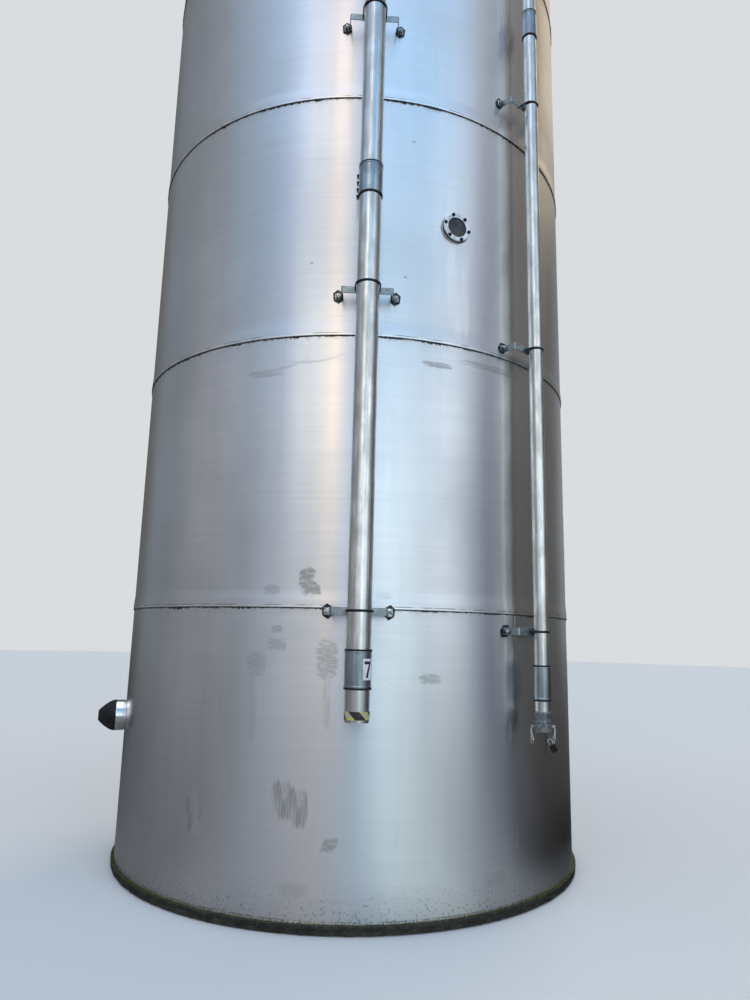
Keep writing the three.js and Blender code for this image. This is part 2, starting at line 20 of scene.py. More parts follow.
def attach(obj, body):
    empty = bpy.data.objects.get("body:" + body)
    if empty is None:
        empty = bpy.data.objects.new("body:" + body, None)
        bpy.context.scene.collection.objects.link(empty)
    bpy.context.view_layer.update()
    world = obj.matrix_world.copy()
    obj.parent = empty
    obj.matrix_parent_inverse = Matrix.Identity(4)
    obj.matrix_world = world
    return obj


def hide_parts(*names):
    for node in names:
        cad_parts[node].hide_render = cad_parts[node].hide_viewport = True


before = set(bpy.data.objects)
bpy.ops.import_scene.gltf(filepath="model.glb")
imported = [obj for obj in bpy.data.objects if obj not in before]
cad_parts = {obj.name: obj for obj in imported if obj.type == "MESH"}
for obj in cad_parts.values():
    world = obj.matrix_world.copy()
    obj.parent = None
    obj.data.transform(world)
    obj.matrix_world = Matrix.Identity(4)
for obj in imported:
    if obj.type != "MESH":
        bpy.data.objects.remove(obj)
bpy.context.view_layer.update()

# %% [markdown]
# The sizes below are those of the solids. A piece that stands for a solid has to lie where the
# solid lies, so both files start from the same numbers.

# %% Sizes of the silo
SHELL = 1.829
PLATE = 0.006
COURSES = 6
PITCH = 1.843
FLANGE_TOP = 0.060
EAVE = FLANGE_TOP + COURSES * PITCH
SEAMS = [FLANGE_TOP + i * PITCH for i in range(1, COURSES)]
LAP = {"gap": 0.0005, "skirt": 0.014, "flare": 0.110, "insert": 0.022}
VENT = {"name": "vent", "azimuth": 1.3, "offset": 2.012, "radius": 0.0762, "low": 1.229,
        "joints": (1.535, 4.786), "bracket": 1.881, "step": 2.144,
        "bend": 0.240, "drop": 0.265, "lugs": (140, -130)}
FILL = {"name": "fill", "azimuth": 40.9, "offset": 1.975, "radius": 0.0508, "low": 1.2633,
        "joints": (1.448, 6.588), "bracket": 1.786, "step": 2.036,
        "bend": 0.200, "drop": 0.275, "lugs": (150, 110)}
CROWN = 11.400
TANGENT = 0.020
SEAT = 0.0003
BRACKETS = 5
GLASS = {"azimuth": 21.6, "height": 4.649, "flange": 0.110, "window": 0.074, "proud": 0.026}
OUTLET = {"azimuth": -73.5, "height": 1.083, "neck": 0.109}
CAP = {"low": 1.132, "high": 1.185, "radius": 0.058}
PIVOT = {"reach": 0.0735, "height": 1.168}
HASP = {"reach": 0.045, "height": 1.090}
print("eave at", round(EAVE, 3), "seams at", [round(z, 3) for z in SEAMS])

# %% [markdown]
# ## Small mesh tools
#
# Most pieces are turned shapes, like work off a lathe: an outline of radius and height goes round
# an axis. The others are swept along a path or extruded from an outline. Keeping vertices and
# faces as plain lists until the end lets several shapes become one piece.

# %% Turn, extrude and join
ON_AXIS = 1e-7


def turned(outline, sides, loop=False):
    """Vertices and faces of (radius, height) points turned about Z, with poles on the axis."""
    verts, rings = [], []
    for radius, height in outline:
        if radius < ON_AXIS:
            rings.append([len(verts)])
            verts.append((0.0, 0.0, height))
            continue
        rings.append(list(range(len(verts), len(verts) + sides)))
        for step in range(sides):
            angle = 2 * math.pi * step / sides
            verts.append((radius * math.sin(angle), -radius * math.cos(angle), height))
    faces = []
    pairs = list(zip(rings, rings[1:]))
    if loop:
        pairs.append((rings[-1], rings[0]))
    for low, high in pairs:
        for step in range(sides):
            after = (step + 1) % sides
            corners = [low[step % len(low)], low[after % len(low)],
                       high[after % len(high)], high[step % len(high)]]
            face = [c for i, c in enumerate(corners) if c not in corners[:i]]
            if len(face) > 2:
                faces.append(face)
    return np.array(verts, float), faces


def round_bar(radius, low, high, sides):
    """A closed cylinder, which here is always the shape of a hole."""
    return turned([(0, low), (radius, low), (radius, high), (0, high)], sides)


def extruded(outline, depth):
    """A flat outline of (x, y) points given a thickness along Z, from zero up."""
    count = len(outline)
    verts = [(x, y, z) for z in (0.0, depth) for x, y in outline]
    faces = [list(range(count))[::-1], list(range(count, 2 * count))]
    for step in range(count):
        after = (step + 1) % count
        faces.append([step, after, count + after, count + step])
    return np.array(verts, float), faces


def joined(*shapes):
    """Several shapes as one."""
    verts, faces, start = [], [], 0
    for points, corners in shapes:
        verts.append(points)
        faces += [[start + c for c in face] for face in corners]
        start += len(points)
    return np.vstack(verts), faces


def placed(shape, matrix):
    """A shape moved and turned, by its points."""
    points, faces = shape
    square = np.array(matrix.to_3x3())
    return points @ square.T + np.array(matrix.translation), faces


def radial(azimuth, distance, height):
    """A frame on the wall: Z outwards, Y up, X to the right as seen from outside."""
    turn = math.radians(azimuth)
    outward = Vector((math.sin(turn), -math.cos(turn), 0))
    across = Vector((math.cos(turn), math.sin(turn), 0))
    place = Matrix((across, Vector((0, 0, 1)), outward)).transposed().to_4x4()
    place.translation = outward * distance + Vector((0, 0, height))
    return place


def upright(azimuth, distance=0.0, height=0.0):
    """A frame that stands up, turned to an azimuth and moved outwards."""
    turn = math.radians(azimuth)
    place = Matrix.Rotation(turn, 4, "Z")
    place.translation = Vector((math.sin(turn) * distance, -math.cos(turn) * distance, height))
    return place


# %% Make a piece of the object
MERGE = 1e-6
SHARP = math.radians(40)
made_pieces = []


def mesh_of(name, shape, smooth=35.0):
    """A closed mesh with its faces outwards, smooth except over sharp edges."""
    mesh = bpy.data.meshes.new(name)
    mesh.from_pydata([tuple(p) for p in shape[0]], [], shape[1])
    work = bmesh.new()
    work.from_mesh(mesh)
    bmesh.ops.remove_doubles(work, verts=work.verts, dist=MERGE)
    bmesh.ops.recalc_face_normals(work, faces=work.faces)
    work.to_mesh(mesh)
    work.free()
    mesh.shade_smooth()
    mesh.set_sharp_from_angle(angle=math.radians(smooth))
    return mesh


def linked(name, mesh):
    thing = bpy.data.objects.new(name, mesh)
    bpy.context.scene.collection.objects.link(thing)
    return thing


def solid(name, shape, smooth=35.0):
    """A closed shape as an object in the scene."""
    return linked(name, mesh_of(name, shape, smooth))


def dress(thing, material, nodes=(), body="silo"):
    """Gives a finished piece its material, its body and the solids that it stands for."""
    thing.data.materials.clear()
    thing.data.materials.append(material)
    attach(thing, body)
    if nodes:
        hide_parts(*nodes)
    made_pieces.append(thing.name)
    print(thing.name, len(thing.data.polygons), "faces")
    return thing


def bevelled(thing, width, segments=2):
    """Rounds the sharp edges for good, so that no modifier is left on the piece."""
    edge = thing.modifiers.new("Rounded edges", "BEVEL")
    edge.width = width
    edge.segments = segments
    edge.limit_method = "ANGLE"
    edge.angle_limit = SHARP
    return settled(thing)


def settled(thing):
    """Turns the evaluated result into the piece's own plain mesh."""
    seen = thing.evaluated_get(bpy.context.evaluated_depsgraph_get())
    result = bpy.data.meshes.new_from_object(seen)
    thing.modifiers.clear()
    thing.data = result
    return thing


def holed(thing, shape):
    """Cuts a closed shape out of a piece for good."""
    cutter = solid("cutter", shape)
    hole = thing.modifiers.new("Hole", "BOOLEAN")
    hole.operation = "DIFFERENCE"
    hole.solver = "EXACT"
    hole.object = cutter
    settled(thing)
    bpy.data.objects.remove(cutter)


# %% [markdown]
# ## The camera
#
# The photograph was taken at standing height, close to the silo and looking up a little. Its lens
# and place were found once from the shell's outlines and seams, so here they are plain numbers.

# %% Camera
LENS, SENSOR, FARTHEST = 25.970, 36.0, 200.0
TILT_UP, ROLL, YAW = 10.7223, 1.32464, 1.60231
VIEWPOINT = (0, -6.4578, 1.7292)
eye = bpy.data.cameras.new("eye")
eye.lens = LENS
eye.sensor_width = SENSOR
eye.sensor_fit = "AUTO"
eye.clip_end = FARTHEST
camera = linked("eye", eye)
pitch, roll, yaw = (math.radians(a) for a in (TILT_UP, ROLL, YAW))
ahead = Vector((math.sin(yaw) * math.cos(pitch), math.cos(yaw) * math.cos(pitch), math.sin(pitch)))
level = Vector((math.cos(yaw), -math.sin(yaw), 0))
above = level.cross(ahead)
right = math.cos(roll) * level + math.sin(roll) * above
up = -math.sin(roll) * level + math.cos(roll) * above
view = Matrix((right, up, -ahead)).transposed().to_4x4()
view.translation = Vector(VIEWPOINT)
camera.matrix_world = view
bpy.context.scene.camera = camera
print("camera at", tuple(round(v, 3) for v in view.translation))

# %% [markdown]
# ## Node tools
#
# Shader groups and Geometry Nodes trees are both built from nodes and links. One helper adds a
# node, sets its options and fills its inputs, either with a number or with another node's output.

# %% Add nodes and groups
def put(tree, kind, inputs=None, **options):
    """A new node with its options set and its inputs filled or linked."""
    node = tree.nodes.new(kind)
    for key, value in options.items():
        setattr(node, key, value)
    for key, value in (inputs or {}).items():
        if isinstance(value, bpy.types.NodeSocket):
            tree.links.new(value, node.inputs[key])
        else:
            node.inputs[key].default_value = value
    return node


def maths(tree, operation, first, second=0.0, clamp=False):
    node = put(tree, "ShaderNodeMath", {0: first, 1: second}, operation=operation)
    node.use_clamp = clamp
    return node.outputs[0]


def times(tree, first, second, clamp=False):
    return maths(tree, "MULTIPLY", first, second, clamp)


def plus(tree, first, second, clamp=False):
    return maths(tree, "ADD", first, second, clamp)


def minus(tree, first, second, clamp=False):
    return maths(tree, "SUBTRACT", first, second, clamp)


def falling(tree, value, start, end, kind="SMOOTHSTEP"):
    """One up to the start, going down to zero at the end."""
    node = put(tree, "ShaderNodeMapRange", {"Value": value, "From Min": start, "From Max": end,
                                            "To Min": 1.0, "To Max": 0.0}, interpolation_type=kind)
    return node.outputs[0]


TO_RADIANS, TO_DEGREES = math.pi / 180, 180 / math.pi


def angle_round(tree, axes):
    """The angle about Z in radians, from the front towards the right."""
    return maths(tree, "ARCTAN2", axes.outputs["X"], times(tree, axes.outputs["Y"], -1.0))


def new_group(name, kind, inputs, outputs):
    """A node group with named sockets, its entry and its exit."""
    tree = bpy.data.node_groups.new(name, kind)
    for label, socket, value in inputs:
        made = tree.interface.new_socket(label, in_out="INPUT", socket_type=socket)
        if value is not None:
            made.default_value = value
    for label, socket in outputs:
        tree.interface.new_socket(label, in_out="OUTPUT", socket_type=socket)
    return tree, tree.nodes.new("NodeGroupInput"), tree.nodes.new("NodeGroupOutput")


NUMBER, VECTOR, COLOUR = "NodeSocketFloat", "NodeSocketVector", "NodeSocketColor"
SHAPE, THING, FINISH = "NodeSocketGeometry", "NodeSocketObject", "NodeSocketMaterial"
COUNT, SWITCH = "NodeSocketInt", "NodeSocketBool"

# %% [markdown]
# ## Shared finishes
#
# Metal out of doors is never one tone. Five small groups carry what the materials share: a noise
# that can be stretched into grain or rain streaks, a single dirty mark at a given place on the
# wall, a scratch there, the bands along the seams, with their dirt, a painted highlight on the lip
# of each lap and a painted shade line in its crease, and the spangle of hot-dip zinc.

# %% Stretched noise
stretched, entry, leave = new_group(
    "stretched_noise", "ShaderNodeTree",
    [("Place", VECTOR, None), ("Stretch", VECTOR, (1, 1, 1)), ("Detail", NUMBER, 3.0),
     ("From", NUMBER, 0.35), ("To", NUMBER, 0.65)],
    [("Value", NUMBER)])
scaled = put(stretched, "ShaderNodeVectorMath",
             {0: entry.outputs["Place"], 1: entry.outputs["Stretch"]}, operation="MULTIPLY")
cloud = put(stretched, "ShaderNodeTexNoise",
            {"Vector": scaled.outputs[0], "Scale": 1.0, "Detail": entry.outputs["Detail"]})
spread = put(stretched, "ShaderNodeMapRange",
             {"Value": cloud.outputs["Fac"], "From Min": entry.outputs["From"],
              "From Max": entry.outputs["To"]}, interpolation_type="SMOOTHSTEP")
stretched.links.new(spread.outputs[0], leave.inputs["Value"])


def cloudy(tree, place, stretch, detail=3.0, low=0.35, high=0.65):
    """The stretched noise, placed in a material or in another group."""
    node = put(tree, "ShaderNodeGroup", {"Place": place, "Stretch": stretch, "Detail": detail,
                                         "From": low, "To": high}, node_tree=stretched)
    return node.outputs["Value"]


print("group", stretched.name)

# %% A dirty mark on the wall
def wall_offset(tree, entry):
    """How far a point lies across and up from the group's azimuth and height."""
    axes = put(tree, "ShaderNodeSeparateXYZ", {0: entry.outputs["Place"]})
    centre = times(tree, entry.outputs["Azimuth"], TO_RADIANS)
    across = times(tree, minus(tree, angle_round(tree, axes), centre), SHELL)
    return across, minus(tree, axes.outputs["Z"], entry.outputs["Height"])


def boxy(tree, value, half):
    """Near zero for most of the half size, then quickly one at its end."""
    return maths(tree, "POWER", maths(tree, "ABSOLUTE", maths(tree, "DIVIDE", value, half)), 4.0)


# A coarse noise blots the mark and a fine one hatches it, both drawn out the same way. The last
# factor keeps the blots inside the mark, because they would else show all over the wall.
BLOTTED, HATCH_SCALE, INSIDE = 2.6, 5.5, 5.0
mark, entry, leave = new_group(
    "wall_mark", "ShaderNodeTree",
    [("Place", VECTOR, None), ("Azimuth", NUMBER, 0.0), ("Height", NUMBER, 1.0),
     ("Half width", NUMBER, 0.1), ("Half height", NUMBER, 0.1), ("Breakup", NUMBER, 40.0),
     ("Slant", NUMBER, 0.0), ("Upright", NUMBER, 1.0)],
    [("Mask", NUMBER)])
arc, rise = wall_offset(mark, entry)
arc = minus(mark, arc, times(mark, rise, entry.outputs["Slant"]))
wide = boxy(mark, arc, entry.outputs["Half width"])
tall = boxy(mark, rise, entry.outputs["Half height"])
near = minus(mark, 1.0, plus(mark, wide, tall), clamp=True)
flat = put(mark, "ShaderNodeCombineXYZ", {0: arc, 1: times(mark, rise, entry.outputs["Upright"])})
blots = put(mark, "ShaderNodeTexNoise",
            {"Vector": flat.outputs[0], "Scale": entry.outputs["Breakup"], "Detail": 4.0})
uneven = plus(mark, near, times(mark, minus(mark, blots.outputs["Fac"], 0.5), BLOTTED))
patchy = put(mark, "ShaderNodeMapRange", {"Value": uneven, "From Min": 0.36, "From Max": 1.0})
drawn = put(mark, "ShaderNodeCombineXYZ",
            {0: arc, 1: times(mark, rise, maths(mark, "POWER", entry.outputs["Upright"], 2.0))})
lines = put(mark, "ShaderNodeTexNoise",
            {"Vector": drawn.outputs[0], "Detail": 3.0, "Roughness": 0.65,
             "Scale": times(mark, entry.outputs["Breakup"], HATCH_SCALE)})
hatched = put(mark, "ShaderNodeMapRange",
              {"Value": lines.outputs["Fac"], "From Min": 0.38, "From Max": 0.62,
               "To Min": 0.30, "To Max": 1.0})
inside = times(mark, near, INSIDE, clamp=True)
mask = times(mark, times(mark, patchy.outputs[0], hatched.outputs[0]), inside)
mark.links.new(mask, leave.inputs["Mask"])
print("group", mark.name)

# %% A scratch on the wall
def tapered(tree, value, half):
    """One in the middle, going straight down to zero at the half size."""
    return minus(tree, 1.0, maths(tree, "DIVIDE", maths(tree, "ABSOLUTE", value), half), clamp=True)


BOW, WORN = 0.8, 1.6
scratch, entry, leave = new_group(
    "wall_scratch", "ShaderNodeTree",
    [("Place", VECTOR, None), ("Azimuth", NUMBER, 0.0), ("Height", NUMBER, 1.0),
     ("Half length", NUMBER, 0.1), ("Half thickness", NUMBER, 0.002), ("Angle", NUMBER, 0.0)],
    [("Mask", NUMBER)])
arc, rise = wall_offset(scratch, entry)
lean = times(scratch, entry.outputs["Angle"], TO_RADIANS)
cosine, sine = maths(scratch, "COSINE", lean), maths(scratch, "SINE", lean)
along = plus(scratch, times(scratch, arc, cosine), times(scratch, rise, sine))
across = minus(scratch, times(scratch, rise, cosine), times(scratch, arc, sine))
bow = times(scratch, times(scratch, along, along), BOW)
narrow = tapered(scratch, minus(scratch, across, bow), entry.outputs["Half thickness"])
ends = tapered(scratch, along, entry.outputs["Half length"])
worn = put(scratch, "ShaderNodeTexNoise", {"Vector": entry.outputs["Place"], "Scale": 70.0})
mask = times(scratch, narrow, maths(scratch, "POWER", ends, 0.5))
mask = times(scratch, mask, times(scratch, worn.outputs["Fac"], WORN), clamp=True)
scratch.links.new(mask, leave.inputs["Mask"])
print("group", scratch.name)

# %% Bands along the seams
CREASE, FOOT_FADE = (0.0006, 0.0034), (0.055, 0.34)
SPLASH = {"height": 0.150, "wander": 0.08, "scale": 1.3, "line": (0.001, 0.007)}
bands, entry, leave = new_group(
    "seam_bands", "ShaderNodeTree",
    [("Place", VECTOR, None), ("Dirt depth", NUMBER, 0.05), ("Lip", NUMBER, 0.014)],
    [("Dirt", NUMBER), ("Below", NUMBER), ("Lip", NUMBER), ("Crease", NUMBER),
     ("Foot", NUMBER), ("Splash line", NUMBER)])
axes = put(bands, "ShaderNodeSeparateXYZ", {0: entry.outputs["Place"]})
course = maths(bands, "DIVIDE", minus(bands, axes.outputs["Z"], FLANGE_TOP), PITCH)
within = times(bands, maths(bands, "FRACT", course), PITCH)
below = minus(bands, PITCH, within)
fade = falling(bands, below, 0.0, entry.outputs["Dirt depth"])
drips = cloudy(bands, entry.outputs["Place"], (26, 26, 9), low=0.42, high=0.66)
off = maths(bands, "ABSOLUTE", minus(bands, within, entry.outputs["Lip"]))
wander = put(bands, "ShaderNodeTexNoise",
             {"Vector": entry.outputs["Place"], "Scale": SPLASH["scale"]})
splash = minus(bands, axes.outputs["Z"], plus(
    bands, SPLASH["height"], times(bands, wander.outputs["Fac"], SPLASH["wander"])))
splash = maths(bands, "ABSOLUTE", splash)
# Lip is a painted highlight on each lap's lower edge, and Crease a painted shade line at its top.
for label, value in (("Dirt", times(bands, fade, drips)), ("Below", below),
                     ("Lip", maths(bands, "LESS_THAN", within, entry.outputs["Lip"])),
                     ("Crease", falling(bands, off, *CREASE, kind="LINEAR")),
                     ("Foot", falling(bands, axes.outputs["Z"], *FOOT_FADE)),
                     ("Splash line", falling(bands, splash, *SPLASH["line"], kind="LINEAR"))):
    bands.links.new(value, leave.inputs[label])
print("group", bands.name)

# %% Zinc spangle
spangle, entry, leave = new_group(
    "zinc_spangle", "ShaderNodeTree",
    [("Place", VECTOR, None), ("Scale", NUMBER, 90.0)], [("Tone", NUMBER)])
cells = put(spangle, "ShaderNodeTexVoronoi",
            {"Vector": entry.outputs["Place"], "Scale": entry.outputs["Scale"]})
grey = put(spangle, "ShaderNodeSeparateColor", {0: cells.outputs["Color"]})
veil = put(spangle, "ShaderNodeTexNoise",
           {"Vector": entry.outputs["Place"], "Scale": 14.0, "Detail": 4.0})
tone = plus(spangle, times(spangle, grey.outputs[0], 0.45),
            times(spangle, veil.outputs["Fac"], 0.55))
spangle.links.new(tone, leave.inputs["Tone"])
print("group", spangle.name)

# %% [markdown]
# ## Geometry Nodes for what repeats or follows a path
#
# Four trees do all the repeating. One sweeps a round bar along a path, for weld beads, tubes,
# U-bolts and rings. One sets a fixing on every point, turned the way the point faces. One scatters
# small lumps over a surface, for grit and moss. One stacks copies up the wall at an even step.
# Each ends in Realize Instances and Set Material, so that its result is a plain mesh.

# %% End a tree and run it
def close_tree(tree, leave, shape, finish, smooth=True):
    """Turns the copies into one plain mesh with its material."""
    if smooth:
        shape = put(tree, "GeometryNodeSetShadeSmooth", {"Geometry": shape}).outputs[0]
    real = put(tree, "GeometryNodeRealizeInstances", {"Geometry": shape})
    coated = put(tree, "GeometryNodeSetMaterial",
                 {"Geometry": real.outputs[0], "Material": finish})
    tree.links.new(coated.outputs[0], leave.inputs["Geometry"])


def grow(thing, tree, values):
    """Puts a tree on a piece, fills its named inputs and keeps the result as a plain mesh."""
    change = thing.modifiers.new(tree.name, "NODES")
    change.node_group = tree
    for item in tree.interface.items_tree:
        if item.in_out == "INPUT" and item.name in values:
            change[item.identifier] = values[item.name]
    return settled(thing)


# %% A round bar along a path
sweep, entry, leave = new_group(
    "bar_along_path", "GeometryNodeTree",
    [("Geometry", SHAPE, None), ("Radius", NUMBER, 0.01), ("Sides", COUNT, 12),
     ("Lumps", NUMBER, 0.0), ("Lump size", NUMBER, 0.02), ("Capped", SWITCH, True),
     ("Finish", FINISH, None)],
    [("Geometry", SHAPE)])
path = put(sweep, "GeometryNodeMeshToCurve", {"Mesh": entry.outputs["Geometry"]})
where = put(sweep, "GeometryNodeInputPosition")
rough = put(sweep, "ShaderNodeTexNoise",
            {"Vector": where.outputs[0], "Detail": 2.0,
             "Scale": maths(sweep, "DIVIDE", 1.0, entry.outputs["Lump size"])})
swell = times(sweep, minus(sweep, rough.outputs["Fac"], 0.5),
              times(sweep, entry.outputs["Lumps"], 2.0))
profile = put(sweep, "GeometryNodeCurvePrimitiveCircle",
              {"Resolution": entry.outputs["Sides"], "Radius": entry.outputs["Radius"]})
bar = put(sweep, "GeometryNodeCurveToMesh",
          {"Curve": path.outputs[0], "Profile Curve": profile.outputs[0],
           "Scale": plus(sweep, swell, 1.0), "Fill Caps": entry.outputs["Capped"]})
close_tree(sweep, leave, bar.outputs[0], entry.outputs["Finish"])
print("tree", sweep.name)

# %% A fixing on every point
fixings, entry, leave = new_group(
    "fixing_on_points", "GeometryNodeTree",
    [("Geometry", SHAPE, None), ("Fixing", THING, None), ("Finish", FINISH, None)],
    [("Geometry", SHAPE)])
facing = put(fixings, "GeometryNodeInputNamedAttribute", {"Name": "facing"},
             data_type="FLOAT_VECTOR")
spin = put(fixings, "GeometryNodeInputNamedAttribute", {"Name": "spin"}, data_type="FLOAT")
aimed = put(fixings, "FunctionNodeAlignRotationToVector",
            {"Vector": facing.outputs["Attribute"]}, axis="Z")
twist = put(fixings, "FunctionNodeAxisAngleToRotation",
            {"Axis": (0, 0, 1), "Angle": spin.outputs["Attribute"]})
turned_by = put(fixings, "FunctionNodeRotateRotation",
                {"Rotation": aimed.outputs[0], "Rotate By": twist.outputs[0]},
                rotation_space="LOCAL")
model = put(fixings, "GeometryNodeObjectInfo", {"Object": entry.outputs["Fixing"]})
copies = put(fixings, "GeometryNodeInstanceOnPoints",
             {"Points": entry.outputs["Geometry"], "Instance": model.outputs["Geometry"],
              "Rotation": turned_by.outputs[0]})
close_tree(fixings, leave, copies.outputs[0], entry.outputs["Finish"], smooth=False)
print("tree", fixings.name)

# %% Lumps scattered over a surface
scatter, entry, leave = new_group(
    "scattered_lumps", "GeometryNodeTree",
    [("Geometry", SHAPE, None), ("Density", NUMBER, 100.0), ("Smallest", NUMBER, 0.002),
     ("Largest", NUMBER, 0.006), ("Flatness", NUMBER, 0.6), ("Seed", COUNT, 1),
     ("Finish", FINISH, None)],
    [("Geometry", SHAPE)])
points = put(scatter, "GeometryNodeDistributePointsOnFaces",
             {"Mesh": entry.outputs["Geometry"], "Density": entry.outputs["Density"],
              "Seed": entry.outputs["Seed"]})
size = put(scatter, "FunctionNodeRandomValue",
           {2: entry.outputs["Smallest"], 3: entry.outputs["Largest"],
            "Seed": entry.outputs["Seed"]}, data_type="FLOAT")
squat = put(scatter, "ShaderNodeCombineXYZ",
            {0: size.outputs[1], 1: size.outputs[1],
             2: times(scatter, size.outputs[1], entry.outputs["Flatness"])})
lump = put(scatter, "GeometryNodeMeshIcoSphere", {"Radius": 1.0, "Subdivisions": 1})
lumps = put(scatter, "GeometryNodeInstanceOnPoints",
            {"Points": points.outputs["Points"], "Instance": lump.outputs["Mesh"],
             "Rotation": points.outputs["Rotation"], "Scale": squat.outputs[0]})
close_tree(scatter, leave, lumps.outputs[0], entry.outputs["Finish"])
print("tree", scatter.name)

# %% Copies up the wall
stack, entry, leave = new_group(
    "copies_up_the_wall", "GeometryNodeTree",
    [("Geometry", SHAPE, None), ("Count", COUNT, 5), ("Step", NUMBER, 2.0),
     ("Finish", FINISH, None)],
    [("Geometry", SHAPE)])
rise = put(stack, "ShaderNodeCombineXYZ", {2: entry.outputs["Step"]})
ladder = put(stack, "GeometryNodeMeshLine",
             {"Count": entry.outputs["Count"], "Offset": rise.outputs[0]})
copies = put(stack, "GeometryNodeInstanceOnPoints",
             {"Points": ladder.outputs[0], "Instance": entry.outputs["Geometry"]})
close_tree(stack, leave, copies.outputs[0], entry.outputs["Finish"], smooth=False)
print("tree", stack.name)

# %% Paths and points for the trees
def path_mesh(name, points, loop=False):
    """A line of edges through the points."""
    mesh = bpy.data.meshes.new(name)
    edges = [(i, i + 1) for i in range(len(points) - 1)]
    if loop:
        edges.append((len(points) - 1, 0))
    mesh.from_pydata([tuple(p) for p in points], edges, [])
    return mesh


def circle(count):
    """Even angles once round."""
    return np.linspace(0, 2 * math.pi, count + 1)[:-1]


def swept(name, points, radius, sides=16, loop=False, lumps=0.0, lump_size=0.02):
    """A round bar along one path, as a piece of its own."""
    thing = linked(name, path_mesh(name, points, loop))
    return grow(thing, sweep, {"Radius": radius, "Sides": sides, "Lumps": lumps,
                               "Lump size": lump_size})


def fixed_on(name, fixing, places):
    """Copies of one fixing at (position, facing, spin in degrees) places."""
    mesh = bpy.data.meshes.new(name)
    mesh.from_pydata([tuple(p) for p, _, _ in places], [], [])
    mesh.attributes.new("facing", "FLOAT_VECTOR", "POINT")
    mesh.attributes.new("spin", "FLOAT", "POINT")
    ways = [c for _, way, _ in places for c in way]
    mesh.attributes["facing"].data.foreach_set("vector", ways)
    mesh.attributes["spin"].data.foreach_set("value", [math.radians(t) for _, _, t in places])
    return grow(linked(name, mesh), fixings, {"Fixing": fixing})


def merged(name, parts):
    """Several made meshes as one, for a piece with a single finish."""
    work = bmesh.new()
    for part in parts:
        work.from_mesh(part.data)
    mesh = bpy.data.meshes.new(name)
    work.to_mesh(mesh)
    work.free()
    for part in parts:
        bpy.data.objects.remove(part)
    return linked(name, mesh)


# %% [markdown]
# ## The finishes
#
# Mill-finish aluminium is bright but not a mirror. Rolling leaves a fine level grain, which smears
# a reflection up and down and keeps it narrow from side to side. So the wall's shader is metallic
# and anisotropic with an upright tangent, and its roughness and colour change a little from place
# to place. Dirt takes the metal away where it lies, because dust isn't metallic, and so does the
# painted shade along the creases of the laps.

# %% Start a material
def new_material(name, metallic, roughness, anisotropic=0.0):
    """A material with its Principled shader and the piece's own coordinates."""
    material = bpy.data.materials.new(name)
    material.use_nodes = True
    tree = material.node_tree
    shader = tree.nodes["Principled BSDF"]
    shader.inputs["Metallic"].default_value = metallic
    shader.inputs["Roughness"].default_value = roughness
    shader.inputs["Anisotropic"].default_value = anisotropic
    if anisotropic:
        grain_way = put(tree, "ShaderNodeCombineXYZ", {2: 1.0})
        tree.links.new(grain_way.outputs[0], shader.inputs["Tangent"])
    place = tree.nodes.new("ShaderNodeTexCoord").outputs["Object"]
    return material, tree, shader, place


def blend(tree, factor, first, second):
    """Mixes two colours, each a tuple or another node's output."""
    node = put(tree, "ShaderNodeMix", {0: factor}, data_type="RGBA")
    for socket, value in ((6, first), (7, second)):
        if isinstance(value, tuple):
            node.inputs[socket].default_value = (*value, 1.0)
        else:
            tree.links.new(value, node.inputs[socket])
    return node.outputs[2]


def between(tree, factor, low, high):
    """A number that goes from low to high with the factor."""
    node = put(tree, "ShaderNodeMapRange", {"Value": factor, "To Min": low, "To Max": high})
    return node.outputs[0]


def bumped(tree, shader, height, distance, strength):
    node = put(tree, "ShaderNodeBump",
               {"Height": height, "Distance": distance, "Strength": strength})
    tree.links.new(node.outputs[0], shader.inputs["Normal"])


# %% Marks that years of use left on the wall
# Each is an azimuth, a height, a half width, a half height, a breakup scale, a slant, how far the
# pattern is drawn out upright and how strong it is.
MARKS = [
    (-9.3, 2.110, 0.060, 0.056, 22, 0.3, 1.6, 1.00),
    (-8.6, 2.030, 0.078, 0.062, 26, -0.3, 1.2, 0.95),
    (-16.6, 2.010, 0.066, 0.045, 24, 0.0, 2.2, 0.50),
    (-15.1, 1.763, 0.044, 0.031, 42, 0.4, 1.5, 0.60),
    (-14.9, 1.666, 0.076, 0.044, 28, 0.0, 2.4, 0.55),
    (-19.2, 1.540, 0.076, 0.100, 20, 0.0, 3.2, 0.50),
    (-4.65, 1.580, 0.080, 0.140, 22, 0.0, 2.6, 0.68),
    (-4.4, 1.330, 0.030, 0.200, 22, 0.0, 0.2, 0.32),
    (-12.4, 0.740, 0.080, 0.130, 30, 0.0, 0.20, 0.95),
    (-9.4, 0.700, 0.085, 0.132, 30, 0.0, 0.18, 0.95),
    (-33.2, 0.600, 0.040, 0.125, 34, 0.0, 0.16, 0.90),
    (-30.4, 0.660, 0.020, 0.110, 40, 0.0, 0.16, 0.70),
    (-3.16, 0.495, 0.055, 0.052, 30, 0.6, 1.0, 1.00),
    (16.1, 1.470, 0.085, 0.042, 16, 0.0, 3.0, 0.75),
    (17.1, 3.583, 0.125, 0.026, 12, 0.0, 4.0, 0.85),
    (31.9, 3.640, 0.330, 0.032, 7, 0.0, 6.0, 0.55),
    (-20.5, 3.490, 0.150, 0.030, 9, 0.0, 4.0, 0.55),
    (-19.6, 1.330, 0.040, 0.300, 24, 0.0, 0.10, 0.28),
    (-9.55, 0.240, 0.110, 0.050, 70, 0.0, 1.0, 0.45),
    (31.3, 0.242, 0.120, 0.055, 70, 0.0, 1.0, 0.45),
    (-11.0, 4.286, 0.012, 0.010, 60, 0.0, 1.0, 1.00),
    (11.2, 5.275, 0.014, 0.010, 60, 0.0, 1.0, 1.00),
    (9.7, 4.202, 0.012, 0.012, 60, 0.0, 1.0, 1.00),
    (6.2, 1.985, 0.060, 0.030, 26, 0.0, 2.0, 0.20),
]
